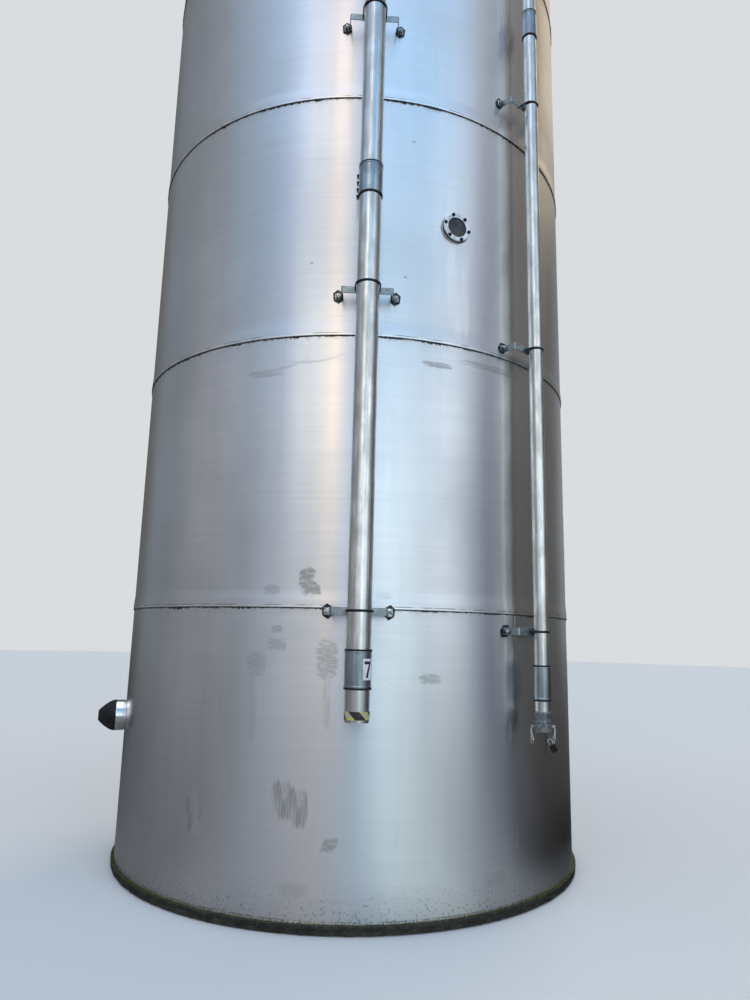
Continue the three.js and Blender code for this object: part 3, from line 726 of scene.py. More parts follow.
PALE = [
    (22.0, 4.170, 0.110, 0.400, 18, 0.0, 0.05, 0.60),
    (24.2, 4.120, 0.040, 0.330, 24, 0.0, 0.05, 0.80),
    (-31.5, 0.620, 0.055, 0.170, 30, 0.0, 0.10, 0.45),
    (-27.0, 1.000, 0.110, 0.330, 16, 0.0, 0.08, 0.25),
]
# Scratches: azimuth, height, half length, half thickness, angle from the level and strength.
SCRATCHES = [
    (-34.1, 1.992, 0.070, 0.0022, 52, 0.70),
    (-16.6, 3.522, 0.200, 0.0150, 8, 0.50),
    (-9.6, 3.556, 0.240, 0.0120, 5, 0.42),
    (-10.9, 5.495, 0.090, 0.0026, 88, 0.55),
    (-9.2, 5.091, 0.266, 0.0030, 0, 0.40),
    (-8.84, 3.258, 0.032, 0.0030, 4, 0.60),
    (8.4, 1.440, 0.062, 0.0026, -14, 0.60),
    (9.7, 0.531, 0.085, 0.0024, 80, 0.45),
    (30.5, 1.862, 0.150, 0.0034, -9, 0.45),
]


def masked(tree, place, group, labels, wanted):
    """The strongest of several marks, each with its own place, size and strength."""
    total = None
    for *values, strength in wanted:
        node = put(tree, "ShaderNodeGroup", {"Place": place, **dict(zip(labels, values))},
                   node_tree=group)
        share = times(tree, node.outputs["Mask"], strength)
        total = share if total is None else maths(tree, "MAXIMUM", total, share)
    return total


MARK_SIZES = ("Azimuth", "Height", "Half width", "Half height", "Breakup", "Slant", "Upright")
SCRATCH_SIZES = ("Azimuth", "Height", "Half length", "Half thickness", "Angle")

# %% The wall's aluminium
WALL_BRIGHT = (0.86, 0.865, 0.875)
WALL_DULL = (0.69, 0.70, 0.715)
# Grime, and the painted shade in the creases of the laps, take this colour.
WALL_GRIME_AND_SHADE = (0.24, 0.235, 0.215)
# Pale for the streaks, and for the painted highlight on the lip of each lap.
WALL_PALE = (0.96, 0.96, 0.96)
SEAM_BLACK = (0.022, 0.020, 0.018)
# How much each effect counts for.
SHARE = {"fine": 0.17, "broad": 0.13, "veil": 0.70, "rain": 0.24, "lip": 0.85, "marks": 1.15,
         "grit": 0.8, "foot": 0.42, "drips": 0.34, "crease": 0.55, "splash": 0.45, "grime": 0.80,
         "fringe": 0.95, "soot_and_shade": 0.7, "dulled": 0.16}
wall_metal, tree, shader, place = new_material("wall_aluminium", 1.0, 0.34, 0.80)
fine = cloudy(tree, place, (2.5, 2.5, 260.0), 2.0, 0.30, 0.70)
broad = cloudy(tree, place, (0.9, 0.9, 46.0), 3.0, 0.34, 0.66)
veil = cloudy(tree, place, (0.8, 0.8, 0.6), 5.0, 0.34, 0.66)
rain = cloudy(tree, place, (11.0, 11.0, 0.45), 3.0, 0.48, 0.72)
tone = plus(tree, times(tree, fine, SHARE["fine"]),
            plus(tree, times(tree, broad, SHARE["broad"]), times(tree, veil, SHARE["veil"])))
metal = blend(tree, tone, WALL_DULL, WALL_BRIGHT)
metal = blend(tree, times(tree, rain, SHARE["rain"]), metal, WALL_DULL)
seams = put(tree, "ShaderNodeGroup", {"Place": place}, node_tree=bands)
pale = masked(tree, place, mark, MARK_SIZES, PALE)
# The lip of each lap is painted pale as well, a painted highlight beside the pale streaks.
pale = maths(tree, "MAXIMUM", pale, times(tree, seams.outputs["Lip"], SHARE["lip"]))
metal = blend(tree, pale, metal, WALL_PALE)
soil_and_shade = times(tree, masked(tree, place, mark, MARK_SIZES, MARKS), SHARE["marks"])
soil_and_shade = maths(tree, "MAXIMUM", soil_and_shade, masked(tree, place, scratch, SCRATCH_SIZES, SCRATCHES))
grit = cloudy(tree, place, (60.0, 60.0, 60.0), 4.0, 0.56, 0.68)
low_dirt = times(tree, seams.outputs["Foot"], grit)
soil_and_shade = maths(tree, "MAXIMUM", soil_and_shade, times(tree, low_dirt, SHARE["grit"]))
# The wall is also darker towards the foot, all round.
soil_and_shade = plus(tree, soil_and_shade, times(tree, seams.outputs["Foot"], SHARE["foot"]), clamp=True)
soil_and_shade = maths(tree, "MAXIMUM", soil_and_shade, times(tree, seams.outputs["Dirt"], SHARE["drips"]))
patches = cloudy(tree, place, (9.0, 9.0, 9.0), 3.0, 0.42, 0.60)
# The crease at the top of each lip gets a painted shade line, and the splash line gets dirt.
crease_shade_and_splash_dirt = plus(tree, times(tree, seams.outputs["Crease"], SHARE["crease"]),
                 times(tree, seams.outputs["Splash line"], SHARE["splash"]))
soil_and_shade = maths(tree, "MAXIMUM", soil_and_shade, times(tree, patches, crease_shade_and_splash_dirt))
# Dirt, and the painted shade in the creases, darken the metal towards grime.
colour = blend(tree, times(tree, soil_and_shade, SHARE["grime"]), metal, WALL_GRIME_AND_SHADE)
# Stain and painted shade hang under a lap in black teeth, deeper in some stretches than others.
teeth = cloudy(tree, place, (56.0, 56.0, 3.0), 2.0, 0.44, 0.66)
runs = cloudy(tree, place, (2.6, 2.6, 0.5), 2.0, 0.42, 0.62)
depth = times(tree, between(tree, runs, 0.5, 1.0), between(tree, teeth, 0.010, 0.022))
fringe = times(tree, maths(tree, "LESS_THAN", seams.outputs["Below"], depth), SHARE["fringe"])
# The crease line is darkened further to seam black, as painted shade.
crease_shade = times(tree, times(tree, seams.outputs["Crease"], patches), SHARE["soot_and_shade"])
colour = blend(tree, maths(tree, "MAXIMUM", fringe, crease_shade), colour, SEAM_BLACK)
tree.links.new(colour, shader.inputs["Base Color"])
gloss = plus(tree, between(tree, tone, 0.375, 0.285), times(tree, soil_and_shade, SHARE["dulled"]))
tree.links.new(gloss, shader.inputs["Roughness"])
tree.links.new(between(tree, soil_and_shade, 1.0, 0.80), shader.inputs["Metallic"])
bumped(tree, shader, fine, 0.00018, 0.16)
print("material", wall_metal.name, "with", len(MARKS), "dark and", len(PALE), "pale marks")

# %% [markdown]
# The other metals follow one recipe with other values: a dull and a bright tone, mixed by a cloud
# and by a grain, and a roughness that goes the opposite way, because a bright spot is a smooth one.

# %% A recipe for the smaller metals
def metal_finish(name, dull, bright, roughness, grain, cloud=(6.0, 6.0, 6.0), bump=0.0002,
                 anisotropic=0.0, zinc=0.0, metallic=1.0):
    material, tree, shader, place = new_material(name, metallic, roughness[0], anisotropic)
    lines = cloudy(tree, place, grain, 2.0, 0.30, 0.70)
    patches = cloudy(tree, place, cloud, 4.0, 0.36, 0.64)
    tone = plus(tree, times(tree, lines, 0.4), times(tree, patches, 0.6))
    if zinc:
        node = put(tree, "ShaderNodeGroup", {"Place": place, "Scale": zinc}, node_tree=spangle)
        tone = plus(tree, times(tree, tone, 0.45), times(tree, node.outputs["Tone"], 0.55))
    tree.links.new(blend(tree, tone, dull, bright), shader.inputs["Base Color"])
    tree.links.new(between(tree, tone, roughness[1], roughness[0]), shader.inputs["Roughness"])
    bumped(tree, shader, lines, bump, 0.5)
    print("material", name)
    return material


roof_metal = metal_finish("roof_aluminium", (0.55, 0.56, 0.575), (0.72, 0.73, 0.745),
                          (0.38, 0.50), (30.0, 30.0, 30.0), (1.5, 1.5, 1.5))
tube_metal = metal_finish("tube_aluminium", (0.52, 0.52, 0.50), (0.88, 0.88, 0.85),
                          (0.20, 0.30), (260.0, 260.0, 3.0), (18.0, 18.0, 5.0), 0.0001, 0.35)
weld_metal = metal_finish("weld_aluminium", (0.46, 0.47, 0.48), (0.80, 0.81, 0.82),
                          (0.30, 0.45), (300.0, 300.0, 300.0), (60.0, 60.0, 60.0))
sleeve_zinc = metal_finish("sleeve_zinc", (0.25, 0.30, 0.33), (0.50, 0.56, 0.58),
                           (0.18, 0.30), (160.0, 160.0, 6.0), (16.0, 16.0, 7.0), 0.00015)
bar_zinc = metal_finish("bar_zinc", (0.20, 0.235, 0.24), (0.47, 0.52, 0.53), (0.34, 0.52),
                        (90.0, 90.0, 90.0), (20.0, 20.0, 20.0), 0.0002, zinc=130.0)
pad_zinc = metal_finish("pad_zinc", (0.006, 0.006, 0.007), (0.09, 0.095, 0.10), (0.26, 0.50),
                        (60.0, 60.0, 60.0), (40.0, 40.0, 40.0), 0.0003)
nut_zinc = metal_finish("nut_zinc", (0.04, 0.045, 0.05), (0.80, 0.82, 0.82), (0.12, 0.45),
                        (70.0, 70.0, 70.0), (45.0, 45.0, 45.0), 0.0003)
# Black steel. On the coupling bolts, its black is painted shade.
black_steel_and_shade = metal_finish("black_steel_and_shade", (0.006, 0.006, 0.008), (0.035, 0.035, 0.040),
                           (0.34, 0.55), (120.0, 120.0, 120.0), metallic=0.5)
ring_metal = metal_finish("ring_aluminium", (0.56, 0.57, 0.58), (0.86, 0.86, 0.86),
                          (0.28, 0.42), (120.0, 120.0, 120.0), (24.0, 24.0, 24.0))
band_metal = metal_finish("band_stainless", (0.60, 0.61, 0.62), (0.93, 0.93, 0.92),
                          (0.12, 0.24), (180.0, 180.0, 180.0), (12.0, 12.0, 12.0), 0.0001)
cast_metal = metal_finish("cast_cap", (0.13, 0.14, 0.14), (0.42, 0.44, 0.44), (0.50, 0.72),
                          (200.0, 200.0, 200.0), (55.0, 55.0, 55.0), 0.0012, metallic=0.85)
adapter_metal = metal_finish("adapter_oxide", (0.11, 0.115, 0.13), (0.30, 0.31, 0.34),
                             (0.40, 0.60), (180.0, 180.0, 30.0), (40.0, 40.0, 40.0), 0.0004,
                             metallic=0.8)
arm_metal = metal_finish("arm_stainless", (0.30, 0.31, 0.32), (0.80, 0.81, 0.82), (0.22, 0.42),
                         (150.0, 150.0, 40.0), (60.0, 60.0, 60.0), 0.0003)


# %% [markdown]
# Rubber, mortar, moss and old weld soot aren't metal. They get a dark or an earthy base, a high
# roughness and a coarser bump. The soot and the mortar are dark for painted shade as well.

# %% A recipe for what isn't metal
def plain_finish(name, dark, light, roughness, grain, bump, specular=0.5):
    material, tree, shader, place = new_material(name, 0.0, roughness)
    shader.inputs["Specular IOR Level"].default_value = specular
    fleck = cloudy(tree, place, grain, 5.0, 0.34, 0.66)
    patch = cloudy(tree, place, tuple(g * 0.12 for g in grain), 4.0, 0.34, 0.66)
    tone = plus(tree, times(tree, fleck, 0.55), times(tree, patch, 0.45))
    tree.links.new(blend(tree, tone, dark, light), shader.inputs["Base Color"])
    bumped(tree, shader, tone, bump, 0.6)
    print("material", name)
    return material


# Soot for the seams, dark also as painted shade under the laps and in their creases.
soot_and_shade = plain_finish("seam_soot_and_shade", (0.012, 0.011, 0.010), (0.10, 0.095, 0.085), 0.75,
                    (160.0, 160.0, 160.0), 0.002)
rubber = plain_finish("black_rubber", (0.004, 0.004, 0.005), (0.022, 0.022, 0.025), 0.60,
                      (90.0, 90.0, 90.0), 0.0006, specular=0.25)
moss_green = plain_finish("moss", (0.020, 0.024, 0.004), (0.21, 0.21, 0.045), 0.95,
                          (240.0, 240.0, 240.0), 0.003, specular=0.1)
# The mortar is dark from the damp and from painted shade along the foot.
damp_mortar_and_shade = plain_finish("damp_mortar_and_shade", (0.006, 0.005, 0.004), (0.075, 0.067, 0.052), 0.9,
                           (120.0, 120.0, 120.0), 0.006)
lock_black = plain_finish("lock_black", (0.003, 0.003, 0.004), (0.014, 0.014, 0.016), 0.55,
                          (60.0, 60.0, 60.0), 0.0004, specular=0.2)

# %% [markdown]
# ## The wall
#
# Each course is a sheet rolled into a ring. From the second one up, its lower edge is set out by
# the thickness of the plate and laps over the course below. Rolled plate is never a perfect
# cylinder, and the eye reads that at once in its reflections. So every ring is turned from its
# section with many columns, and then its radius drifts by less than a millimetre: three or four
# shallow lobes round the ring, a slight barrel between the seams, and small soft dents.

# %% Roll the courses
COLUMNS = 288
ROWS, FLARE_ROWS = 26, 8
LOBE, BARREL, DENT = 0.0007, 0.0006, 0.0005
LIP = 0.0012


def course_section(index):
    """The closed section of one course as (radius, height) points, outer side first."""
    low = FLANGE_TOP + index * PITCH
    high = low + PITCH + (0 if index == COURSES - 1 else LAP["insert"])
    inner = SHELL - PLATE
    if index == 0:
        low += SEAT
        skirt, back = [(SHELL, low)], [(inner, low)]
        start = low
    else:
        lap_in = SHELL + LAP["gap"]
        lap_out = lap_in + PLATE
        shoulder = low + LAP["skirt"]
        start = shoulder + LAP["flare"]
        skirt = [(lap_out - LIP, low), (lap_out, low + LIP), (lap_out, shoulder)]
        for step in range(1, FLARE_ROWS + 1):
            ease = (1 - math.cos(math.pi * step / FLARE_ROWS)) / 2
            skirt.append((lap_out + (SHELL - lap_out) * ease,
                          shoulder + LAP["flare"] * step / FLARE_ROWS))
        back = [(inner, start), (inner, low + 0.037), (lap_in, low + 0.024), (lap_in, low)]
    rows = [(SHELL, start + (high - start) * step / ROWS) for step in range(1, ROWS + 1)]
    return skirt + rows + [(inner, high)] + back


def drifted(shape, index):
    """Moves the points in or out as rolled plate does, the same on both sides of the sheet."""
    verts, faces = shape
    low = FLANGE_TOP + index * PITCH
    lobes = 3 + index % 2
    for vert in verts:
        turn = math.atan2(vert[0], -vert[1])
        up = min(max((vert[2] - low) / PITCH, 0.0), 1.0)
        calm = math.sin(math.pi * up)
        where = Vector((math.sin(turn) * 3.2, math.cos(turn) * 3.2, vert[2] * 1.7 + 9.0 * index))
        out = (LOBE * math.sin(lobes * turn + 1.9 * index) * (0.4 + 0.6 * calm)
               + BARREL * calm * math.sin(2.1 * index + 1.0) + DENT * calm * noise.noise(where))
        radius = math.hypot(vert[0], vert[1])
        vert[0] *= (radius + out) / radius
        vert[1] *= (radius + out) / radius
    return verts, faces


courses = []
for index in range(COURSES):
    ring = drifted(turned(course_section(index), COLUMNS, loop=True), index)
    courses.append(solid(f"course_{index + 1}", ring, 28.0))
print(len(courses), "courses,", sum(len(c.data.polygons) for c in courses), "faces")

# %% [markdown]
# Two courses have a round hole: the first for the outlet's stub, the third for the sight glass. A
# Boolean cuts each with a turned plug that points outwards.

# %% Cut the holes
def wall_hole(course, azimuth, height, radius):
    holed(course, placed(round_bar(radius, -0.1, 0.1, 64), radial(azimuth, SHELL, height)))


wall_hole(courses[0], OUTLET["azimuth"], OUTLET["height"], OUTLET["neck"] + SEAT)
wall_hole(courses[2], GLASS["azimuth"], GLASS["height"], GLASS["window"])
for index, course in enumerate(courses):
    dress(course, wall_metal, [f"shell_course_{index + 1}"])

# %% [markdown]
# ## Seams
#
# Under each lap runs a thin, dark and ragged line, where weld soot and rain dirt gather below the
# edge of the sheet, whose lip has a painted highlight. The line is also painted shade under the
# lap. It is a bar swept round the wall, lumpy and in places thicker, and the wall's own finish
# adds the stain and painted shade below it. The upright welds were dressed down nearly flush, so
# their beads are sunk and hardly show.

# %% Dark line under every lap
def around(radius, height):
    """Points all round the wall."""
    return [(radius * math.sin(a), -radius * math.cos(a), height) for a in circle(COLUMNS * 2)]


BEAD = {"radius": 0.0046, "out": 0.0020, "below": 0.0026}
beads = [swept(f"bead_{i}", around(SHELL + BEAD["out"], z - BEAD["below"]), BEAD["radius"],
               8, True, 0.95, 0.024) for i, z in enumerate(SEAMS)]
dress(merged("seam_beads", beads), soot_and_shade)

# %% Blots where the weld ran thick
# Azimuth, height and half length of each.
BLOTS = [(16.0, 5.589, 0.060), (-25.0, 5.589, 0.020), (-37.0, 5.589, 0.022),
         (-11.0, 5.589, 0.030), (-6.5, 3.746, 0.035), (-14.0, 3.746, 0.020),
         (8.0, 3.746, 0.030), (15.9, 1.903, 0.055), (30.4, 1.903, 0.045),
         (-30.0, 1.903, 0.030), (48.0, 1.903, 0.060), (-44.0, 1.903, 0.030),
         (25.0, 3.746, 0.040), (-28.0, 3.746, 0.025)]
BLOT = {"radius": 0.0068, "out": 0.0036, "below": 0.005, "steps": 6}
blots = []
for index, (azimuth, height, half) in enumerate(BLOTS):
    reach = math.degrees(half / SHELL)
    turns = np.linspace(azimuth - reach, azimuth + reach, 2 * BLOT["steps"] + 1)
    points = [radial(a, SHELL + BLOT["out"], height - BLOT["below"]).translation for a in turns]
    blots.append(swept(f"blot_{index}", points, BLOT["radius"], 8, False, 0.9, 0.012))
dress(merged("seam_blots", blots), soot_and_shade)

# %% Upright welds
# Azimuth and the heights between which each runs.
WELDS = [(-51.1, 5.626, 7.43), (38.0, 0.062, 1.90), (-128.0, 1.94, 3.74), (118.0, 3.79, 5.58),
         (-160.0, 7.47, 9.27), (150.0, 9.32, 11.11)]
WELD = {"radius": 0.0036, "sunk": 0.0026}
welds = []
for index, (azimuth, low, high) in enumerate(WELDS):
    points = [radial(azimuth, SHELL - WELD["sunk"], z).translation
              for z in np.linspace(low, high, 240)]
    welds.append(swept(f"weld_{index}", points, WELD["radius"], 8, False, 0.25, 0.030))
dress(merged("upright_welds", welds), wall_metal)

# %% [markdown]
# ## The foot
#
# The shell stands on a flat flange, bedded in mortar. Rain splashes grit on the wall here, moss
# grows on the flange, and the mortar's edge has broken into lumps. The flange and the bed are
# turned. The bed's edge is then roughened, and grit and moss are scattered on bands that hug them.
# The flange and the mortar are nearly black, from the wet and from painted shade along the foot.

# %% Flange and mortar bed
FLANGE_IN, FLANGE_OUT = 1.745, 1.853
BED = {"radius": 1.850, "height": 0.040}
low = BED["height"] + SEAT
flange = turned([(0, low), (FLANGE_OUT - 0.001, low), (FLANGE_OUT, low + 0.001),
                 (FLANGE_OUT, FLANGE_TOP - 0.002), (FLANGE_OUT - 0.002, FLANGE_TOP),
                 (FLANGE_IN, FLANGE_TOP), (FLANGE_IN, low + 0.008), (0, low + 0.008)], COLUMNS)
foot_plate = solid("foot_flange", flange)
bed = turned([(0, 0), (BED["radius"] - 0.012, 0)]
             + [(BED["radius"], BED["height"] * t) for t in (0.2, 0.4, 0.6, 0.8, 1.0)]
             + [(0, BED["height"])], COLUMNS * 2)
for vert in bed[0]:
    if math.hypot(vert[0], vert[1]) > 1.0:
        rough_edge = noise.noise(Vector(vert) * 28.0) + 0.5 * noise.noise(Vector(vert) * 90.0)
        inward = 1.0 - (0.006 + 0.006 * max(-0.9, min(0.9, rough_edge))) / BED["radius"]
        vert[0] *= inward
        vert[1] *= inward
dress(solid("mortar_edge", bed), damp_mortar_and_shade, ["mortar_bed"])

# %% Flange metal, wet and with painted shade
flange_metal, tree, shader, place = new_material("flange_aluminium", 0.8, 0.5)
wet_and_shade = cloudy(tree, place, (30.0, 30.0, 30.0), 5.0, 0.30, 0.60)
# Both tones are near black: wet patches and painted shade.
tree.links.new(blend(tree, wet_and_shade, (0.075, 0.075, 0.070), (0.008, 0.008, 0.006)),
               shader.inputs["Base Color"])
tree.links.new(between(tree, wet_and_shade, 0.8, 0.1), shader.inputs["Metallic"])
bumped(tree, shader, wet_and_shade, 0.002, 0.5)
dress(foot_plate, flange_metal, ["base_plate"])
print("material", flange_metal.name)


# %% Bands for the scatter
def hugging_band(name, inner, outer, low, high, azimuth_from, azimuth_to):
    """An open strip of faces round the foot, for lumps to grow on."""
    steps = 160
    turns = np.radians(np.linspace(azimuth_from, azimuth_to, steps))
    verts = [(r * math.sin(a), -r * math.cos(a), z) for r, z in ((inner, high), (outer, low))
             for a in turns]
    faces = [(i, steps + i, steps + i + 1, i + 1) for i in range(steps - 1)]
    mesh = bpy.data.meshes.new(name)
    mesh.from_pydata(verts, [], faces)
    return linked(name, mesh)


# %% Grit and moss
def scattered(name, band, density, smallest, largest, flatness, seed):
    return grow(hugging_band(name, *band), scatter, {
        "Density": density, "Smallest": smallest, "Largest": largest, "Flatness": flatness,
        "Seed": seed})


# Inner and outer radius, lowest and highest point and the azimuths of the band, then the density,
# smallest and largest lump, flatness and seed.
MOSS_BANDS = [((1.829, 1.850, 0.0605, 0.0610, -180, 180), 9000, 0.0020, 0.0055, 0.6, 3),
              ((1.8295, 1.8300, 0.0620, 0.0740, -75, 60), 14000, 0.0015, 0.0040, 0.5, 5),
              ((1.8293, 1.8297, 0.0720, 0.0950, -72, -20), 2600, 0.0012, 0.0032, 0.5, 8)]
moss = [scattered(f"moss_{i}", *band) for i, band in enumerate(MOSS_BANDS)]
dress(merged("moss_on_flange", moss), moss_green)
GRIT_BANDS = [((1.846, 1.847, 0.007, 0.036, -180, 180), 9000, 0.0020, 0.0050, 0.7, 11),
              ((1.8465, 1.8470, 0.008, 0.034, 22, 75), 9000, 0.0035, 0.0062, 0.7, 14)]
grit = [scattered(f"grit_{i}", *band) for i, band in enumerate(GRIT_BANDS)]
dress(merged("mortar_lumps", grit), damp_mortar_and_shade)

# %% [markdown]
# ## The roof
#
# The picture ends below the roof, so it is a plain low cone of sheet, with a hatch at its top. Its
# gores are lapped along raised ribs, as sheet roofs of this kind are. The holes for the two lines
# are cut with the same upright plugs as in the solid.

# %% Roof sheet
ROOF = {"edge": 1.853, "sheet": 0.005, "hatch": 0.305, "slope": math.tan(math.radians(15))}


def under_roof(radius):
    return EAVE + SEAT + (SHELL - radius) * ROOF["slope"]


def line_place(line, back=0.0):
    """Where a line stands in plan, or a distance straight behind it."""
    turn = math.radians(line["azimuth"])
    return (line["offset"] * math.sin(turn), -line["offset"] * math.cos(turn) + back)


sheet = turned([(ROOF["edge"], under_roof(ROOF["edge"])),
                (ROOF["edge"], under_roof(ROOF["edge"]) + ROOF["sheet"]),
                (ROOF["hatch"], under_roof(ROOF["hatch"]) + ROOF["sheet"]),
                (ROOF["hatch"], under_roof(ROOF["hatch"]))], COLUMNS, loop=True)
roof = solid("roof_sheet", sheet)
for line in (VENT, FILL):
    x, y = line_place(line, 2 * (line["bend"] + TANGENT))
    holed(roof, placed(round_bar(line["radius"] + SEAT, 0, 0.6, 48),
                       Matrix.Translation((x, y, EAVE - 0.1))))
dress(roof, roof_metal, ["roof_cone"])

# %% Ribs over the laps of the gores
GORES = 16
RIB = {"radius": 0.007, "turn": 11.0, "short": 0.03}
ribs = []
for index in range(GORES):
    azimuth = 360 * index / GORES + RIB["turn"]
    points = [radial(azimuth, r, under_roof(r) + ROOF["sheet"]).translation
              for r in np.linspace(ROOF["edge"] - RIB["short"], ROOF["hatch"] + RIB["short"], 24)]
    ribs.append(swept(f"rib_{index}", points, RIB["radius"], 8, lumps=0.1, lump_size=0.3))
dress(merged("roof_ribs", ribs), roof_metal)

# %% Hatch
HATCH = {"wall": 0.006, "up": 0.140, "down": 0.030, "edge": 0.020, "rim": 0.045}
outer = ROOF["hatch"] - SEAT
seat = under_roof(ROOF["hatch"]) + ROOF["sheet"]
top = seat + HATCH["up"]
neck = turned([(outer - HATCH["wall"], seat - HATCH["down"]), (outer, seat - HATCH["down"]),
               (outer, top), (outer - HATCH["wall"], top)], 96, loop=True)
dress(solid("hatch_neck", neck), roof_metal, ["roof_hatch_neck"])
lid_edge = ROOF["hatch"] + HATCH["edge"]
low = top + SEAT
sheet = ROOF["sheet"]
lid = turned([(0, low), (lid_edge - sheet, low), (lid_edge - sheet, low - HATCH["rim"]),
              (lid_edge, low - HATCH["rim"]), (lid_edge, low + sheet * 0.4),
              (lid_edge - 0.003, low + sheet), (lid_edge - 0.05, low + sheet + 0.001),
              (0.10, low + 2.8 * sheet), (0, low + 3 * sheet)], 96)
dress(solid("hatch_lid", lid), roof_metal, ["roof_hatch_cover"])

# %% [markdown]
# ## The two lines
#
# Both lines are drawn tube. A straight length and an elbow are the same thing to the sweep: a path
# and a radius. Solidify then gives the wall, inwards, so that the outside stays the size it was.

# %% Tubes
TUBE_WALL = 0.003


def tube(name, points, radius, sides=56):
    """A tube with a wall along a path, its outside at the radius."""
    thing = linked(name, path_mesh(name, points))
    grow(thing, sweep, {"Radius": radius, "Sides": sides, "Capped": False})
    work = bmesh.new()
    work.from_mesh(thing.data)
    work.faces.ensure_lookup_table()
    face = work.faces[0]
    centre = face.calc_center_median()
    axis = min((Vector(p) for p in points), key=lambda p: (p - centre).length)
    if (centre - axis).dot(face.normal) < 0:
        bmesh.ops.reverse_faces(work, faces=work.faces)
    work.to_mesh(thing.data)
    work.free()
    wall = thing.modifiers.new("Wall", "SOLIDIFY")
    wall.thickness = TUBE_WALL
    wall.offset = -1.0
    settled(thing)
    thing.data.set_sharp_from_angle(angle=SHARP)
    return thing


def quarter(radius, number, behind):
    """Points of the first or second quarter of a bend that goes up, straight back and down."""
    steps = 20
    angles = [(number + step / steps) * math.pi / 2 for step in range(steps + 1)]
    return [(behind + radius * (1 - math.cos(a)), radius * math.sin(a)) for a in angles]


def upright_run(line, low, high):
    x, y = line_place(line)
    return [(x, y, low), (x, y, high)]


def bend_run(line, side_points):
    x, y = line_place(line)
    return [(x, y + back, CROWN + up) for back, up in side_points]


for line in (VENT, FILL):
    stops = [line["low"], *line["joints"], CROWN - TANGENT]
    for place_name, low, high in zip(("end", "lower", "upper"), stops, stops[1:]):
        name = f"{line['name']}_pipe_{place_name}"
        run = tube(name, upright_run(line, low + SEAT / 2, high - SEAT / 2), line["radius"])
        dress(run, tube_metal, [name])
    bend = line["bend"]
    rise = [(0, -TANGENT), *quarter(bend, 0, 0), (bend + TANGENT, bend)]
    fall = [(bend + TANGENT + SEAT, bend), *quarter(bend, 1, 2 * TANGENT),
            (2 * (bend + TANGENT), -line["drop"])]
    for place_name, side_points in (("rise", rise), ("fall", fall)):
        name = f"{line['name']}_elbow_{place_name}"
        run = tube(name, bend_run(line, side_points), line["radius"])
        dress(run, tube_metal, [name])

# %% [markdown]
# A weld ring marks where each elbow was joined on, and a storm collar closes the hole in the roof
# round each line.

# %% Weld rings and storm collars
WELD_RING = {"radius": 0.0028, "sunk": 0.0006}
rings, collars = [], []
for line in (VENT, FILL):
    x, y = line_place(line)
    ring = line["radius"] - WELD_RING["sunk"]
    points = [(x + ring * math.cos(a), y + ring * math.sin(a), CROWN - TANGENT)
              for a in circle(48)]
    rings.append(swept(f"ring_{line['name']}", points, WELD_RING["radius"], 8, True, 0.4, 0.012))
    x, y = line_place(line, 2 * (line["bend"] + TANGENT))
    level_at = under_roof(math.hypot(x, y)) + 0.030
    collar = turned([(line["radius"] + SEAT, level_at), (line["radius"] + 0.004, level_at),
                     (line["radius"] + 0.040, level_at - 0.018),
                     (line["radius"] + 0.039, level_at - 0.020),
                     (line["radius"] + SEAT, level_at - 0.006)], 56, loop=True)
    collars.append(solid("collar", placed(collar, Matrix.Translation((x, y, 0)))))
dress(merged("pipe_welds", rings), weld_metal)
dress(merged("storm_collars", collars), roof_metal)

# %% [markdown]
# ## Fixings
#
# Bolts, nuts and washers repeat all over the silo, so each kind is modelled once, small and light,
# and the fixing tree copies it to its points. A kind's Z axis is the way that it faces.

# %% Kinds of fixings
def hexagon(across):
    reach = across / math.sqrt(3)
    return [(reach * math.cos(i * math.pi / 3), reach * math.sin(i * math.pi / 3))
            for i in range(6)]


def kind(name, *shapes):
    """A model that only the fixing tree uses. It is taken away once all copies are made."""
    return solid(name, joined(*shapes), 30.0)


def washer(radius, hole, thick, sides=20):
    return turned([(hole, 0), (radius - thick * 0.3, 0), (radius, thick * 0.3),
                   (radius, thick * 0.8), (radius - thick * 0.3, thick), (hole, thick)],
                  sides, loop=True)


def nut(across, low, high):
    """A hexagon with its corners turned down a little, so that its edge catches the light."""
    slim = across / math.sqrt(3) * 0.88
    body = placed(extruded(hexagon(across), high - low), Matrix.Translation((0, 0, low)))
    top = turned([(slim, high - 0.0002), (slim * 0.9, high + 0.0012), (0, high + 0.0014)], 12)
    return joined(body, top)


def stud(radius, high, sides=12):
    return turned([(0, 0), (radius, 0), (radius, high - radius * 0.3), (radius * 0.7, high),
                   (0, high)], sides)


foot_bolt = kind("foot_bolt", washer(0.024, 0.006, 0.004), nut(0.034, 0.004, 0.019),
                 stud(0.010, 0.030))
PAD = [(0.0, 0.050), (-0.034, 0.026), (-0.034, -0.024), (0.0, -0.050), (0.034, -0.024),
       (0.034, 0.026)]
PAD_THICK = 0.007
pad = kind("foot_pad", extruded(PAD, PAD_THICK))
small_bolt = kind("small_bolt", washer(0.0115, 0.004, 0.002, sides=14), nut(0.015, 0.002, 0.009),
                  stud(0.004, 0.014, 8))
ring_bolt = kind("ring_bolt", washer(0.0135, 0.004, 0.0022, sides=16), nut(0.018, 0.002, 0.010),
                 stud(0.005, 0.013, 8))
kinds = [foot_bolt, pad, small_bolt, ring_bolt]
print(len(kinds), "kinds of fixings")

# %% [markdown]
# ## Brackets
#
# A flat bar is bent into a hat: two feet on the wall, two slopes and a crown that carries the tube.
# Its side view is a line with rounded corners, given a thickness to both sides and then a height.
# A U-bolt clasps the tube's front. Each foot lies on a pointed black pad, and a stud with a washer
# and a nut holds it.

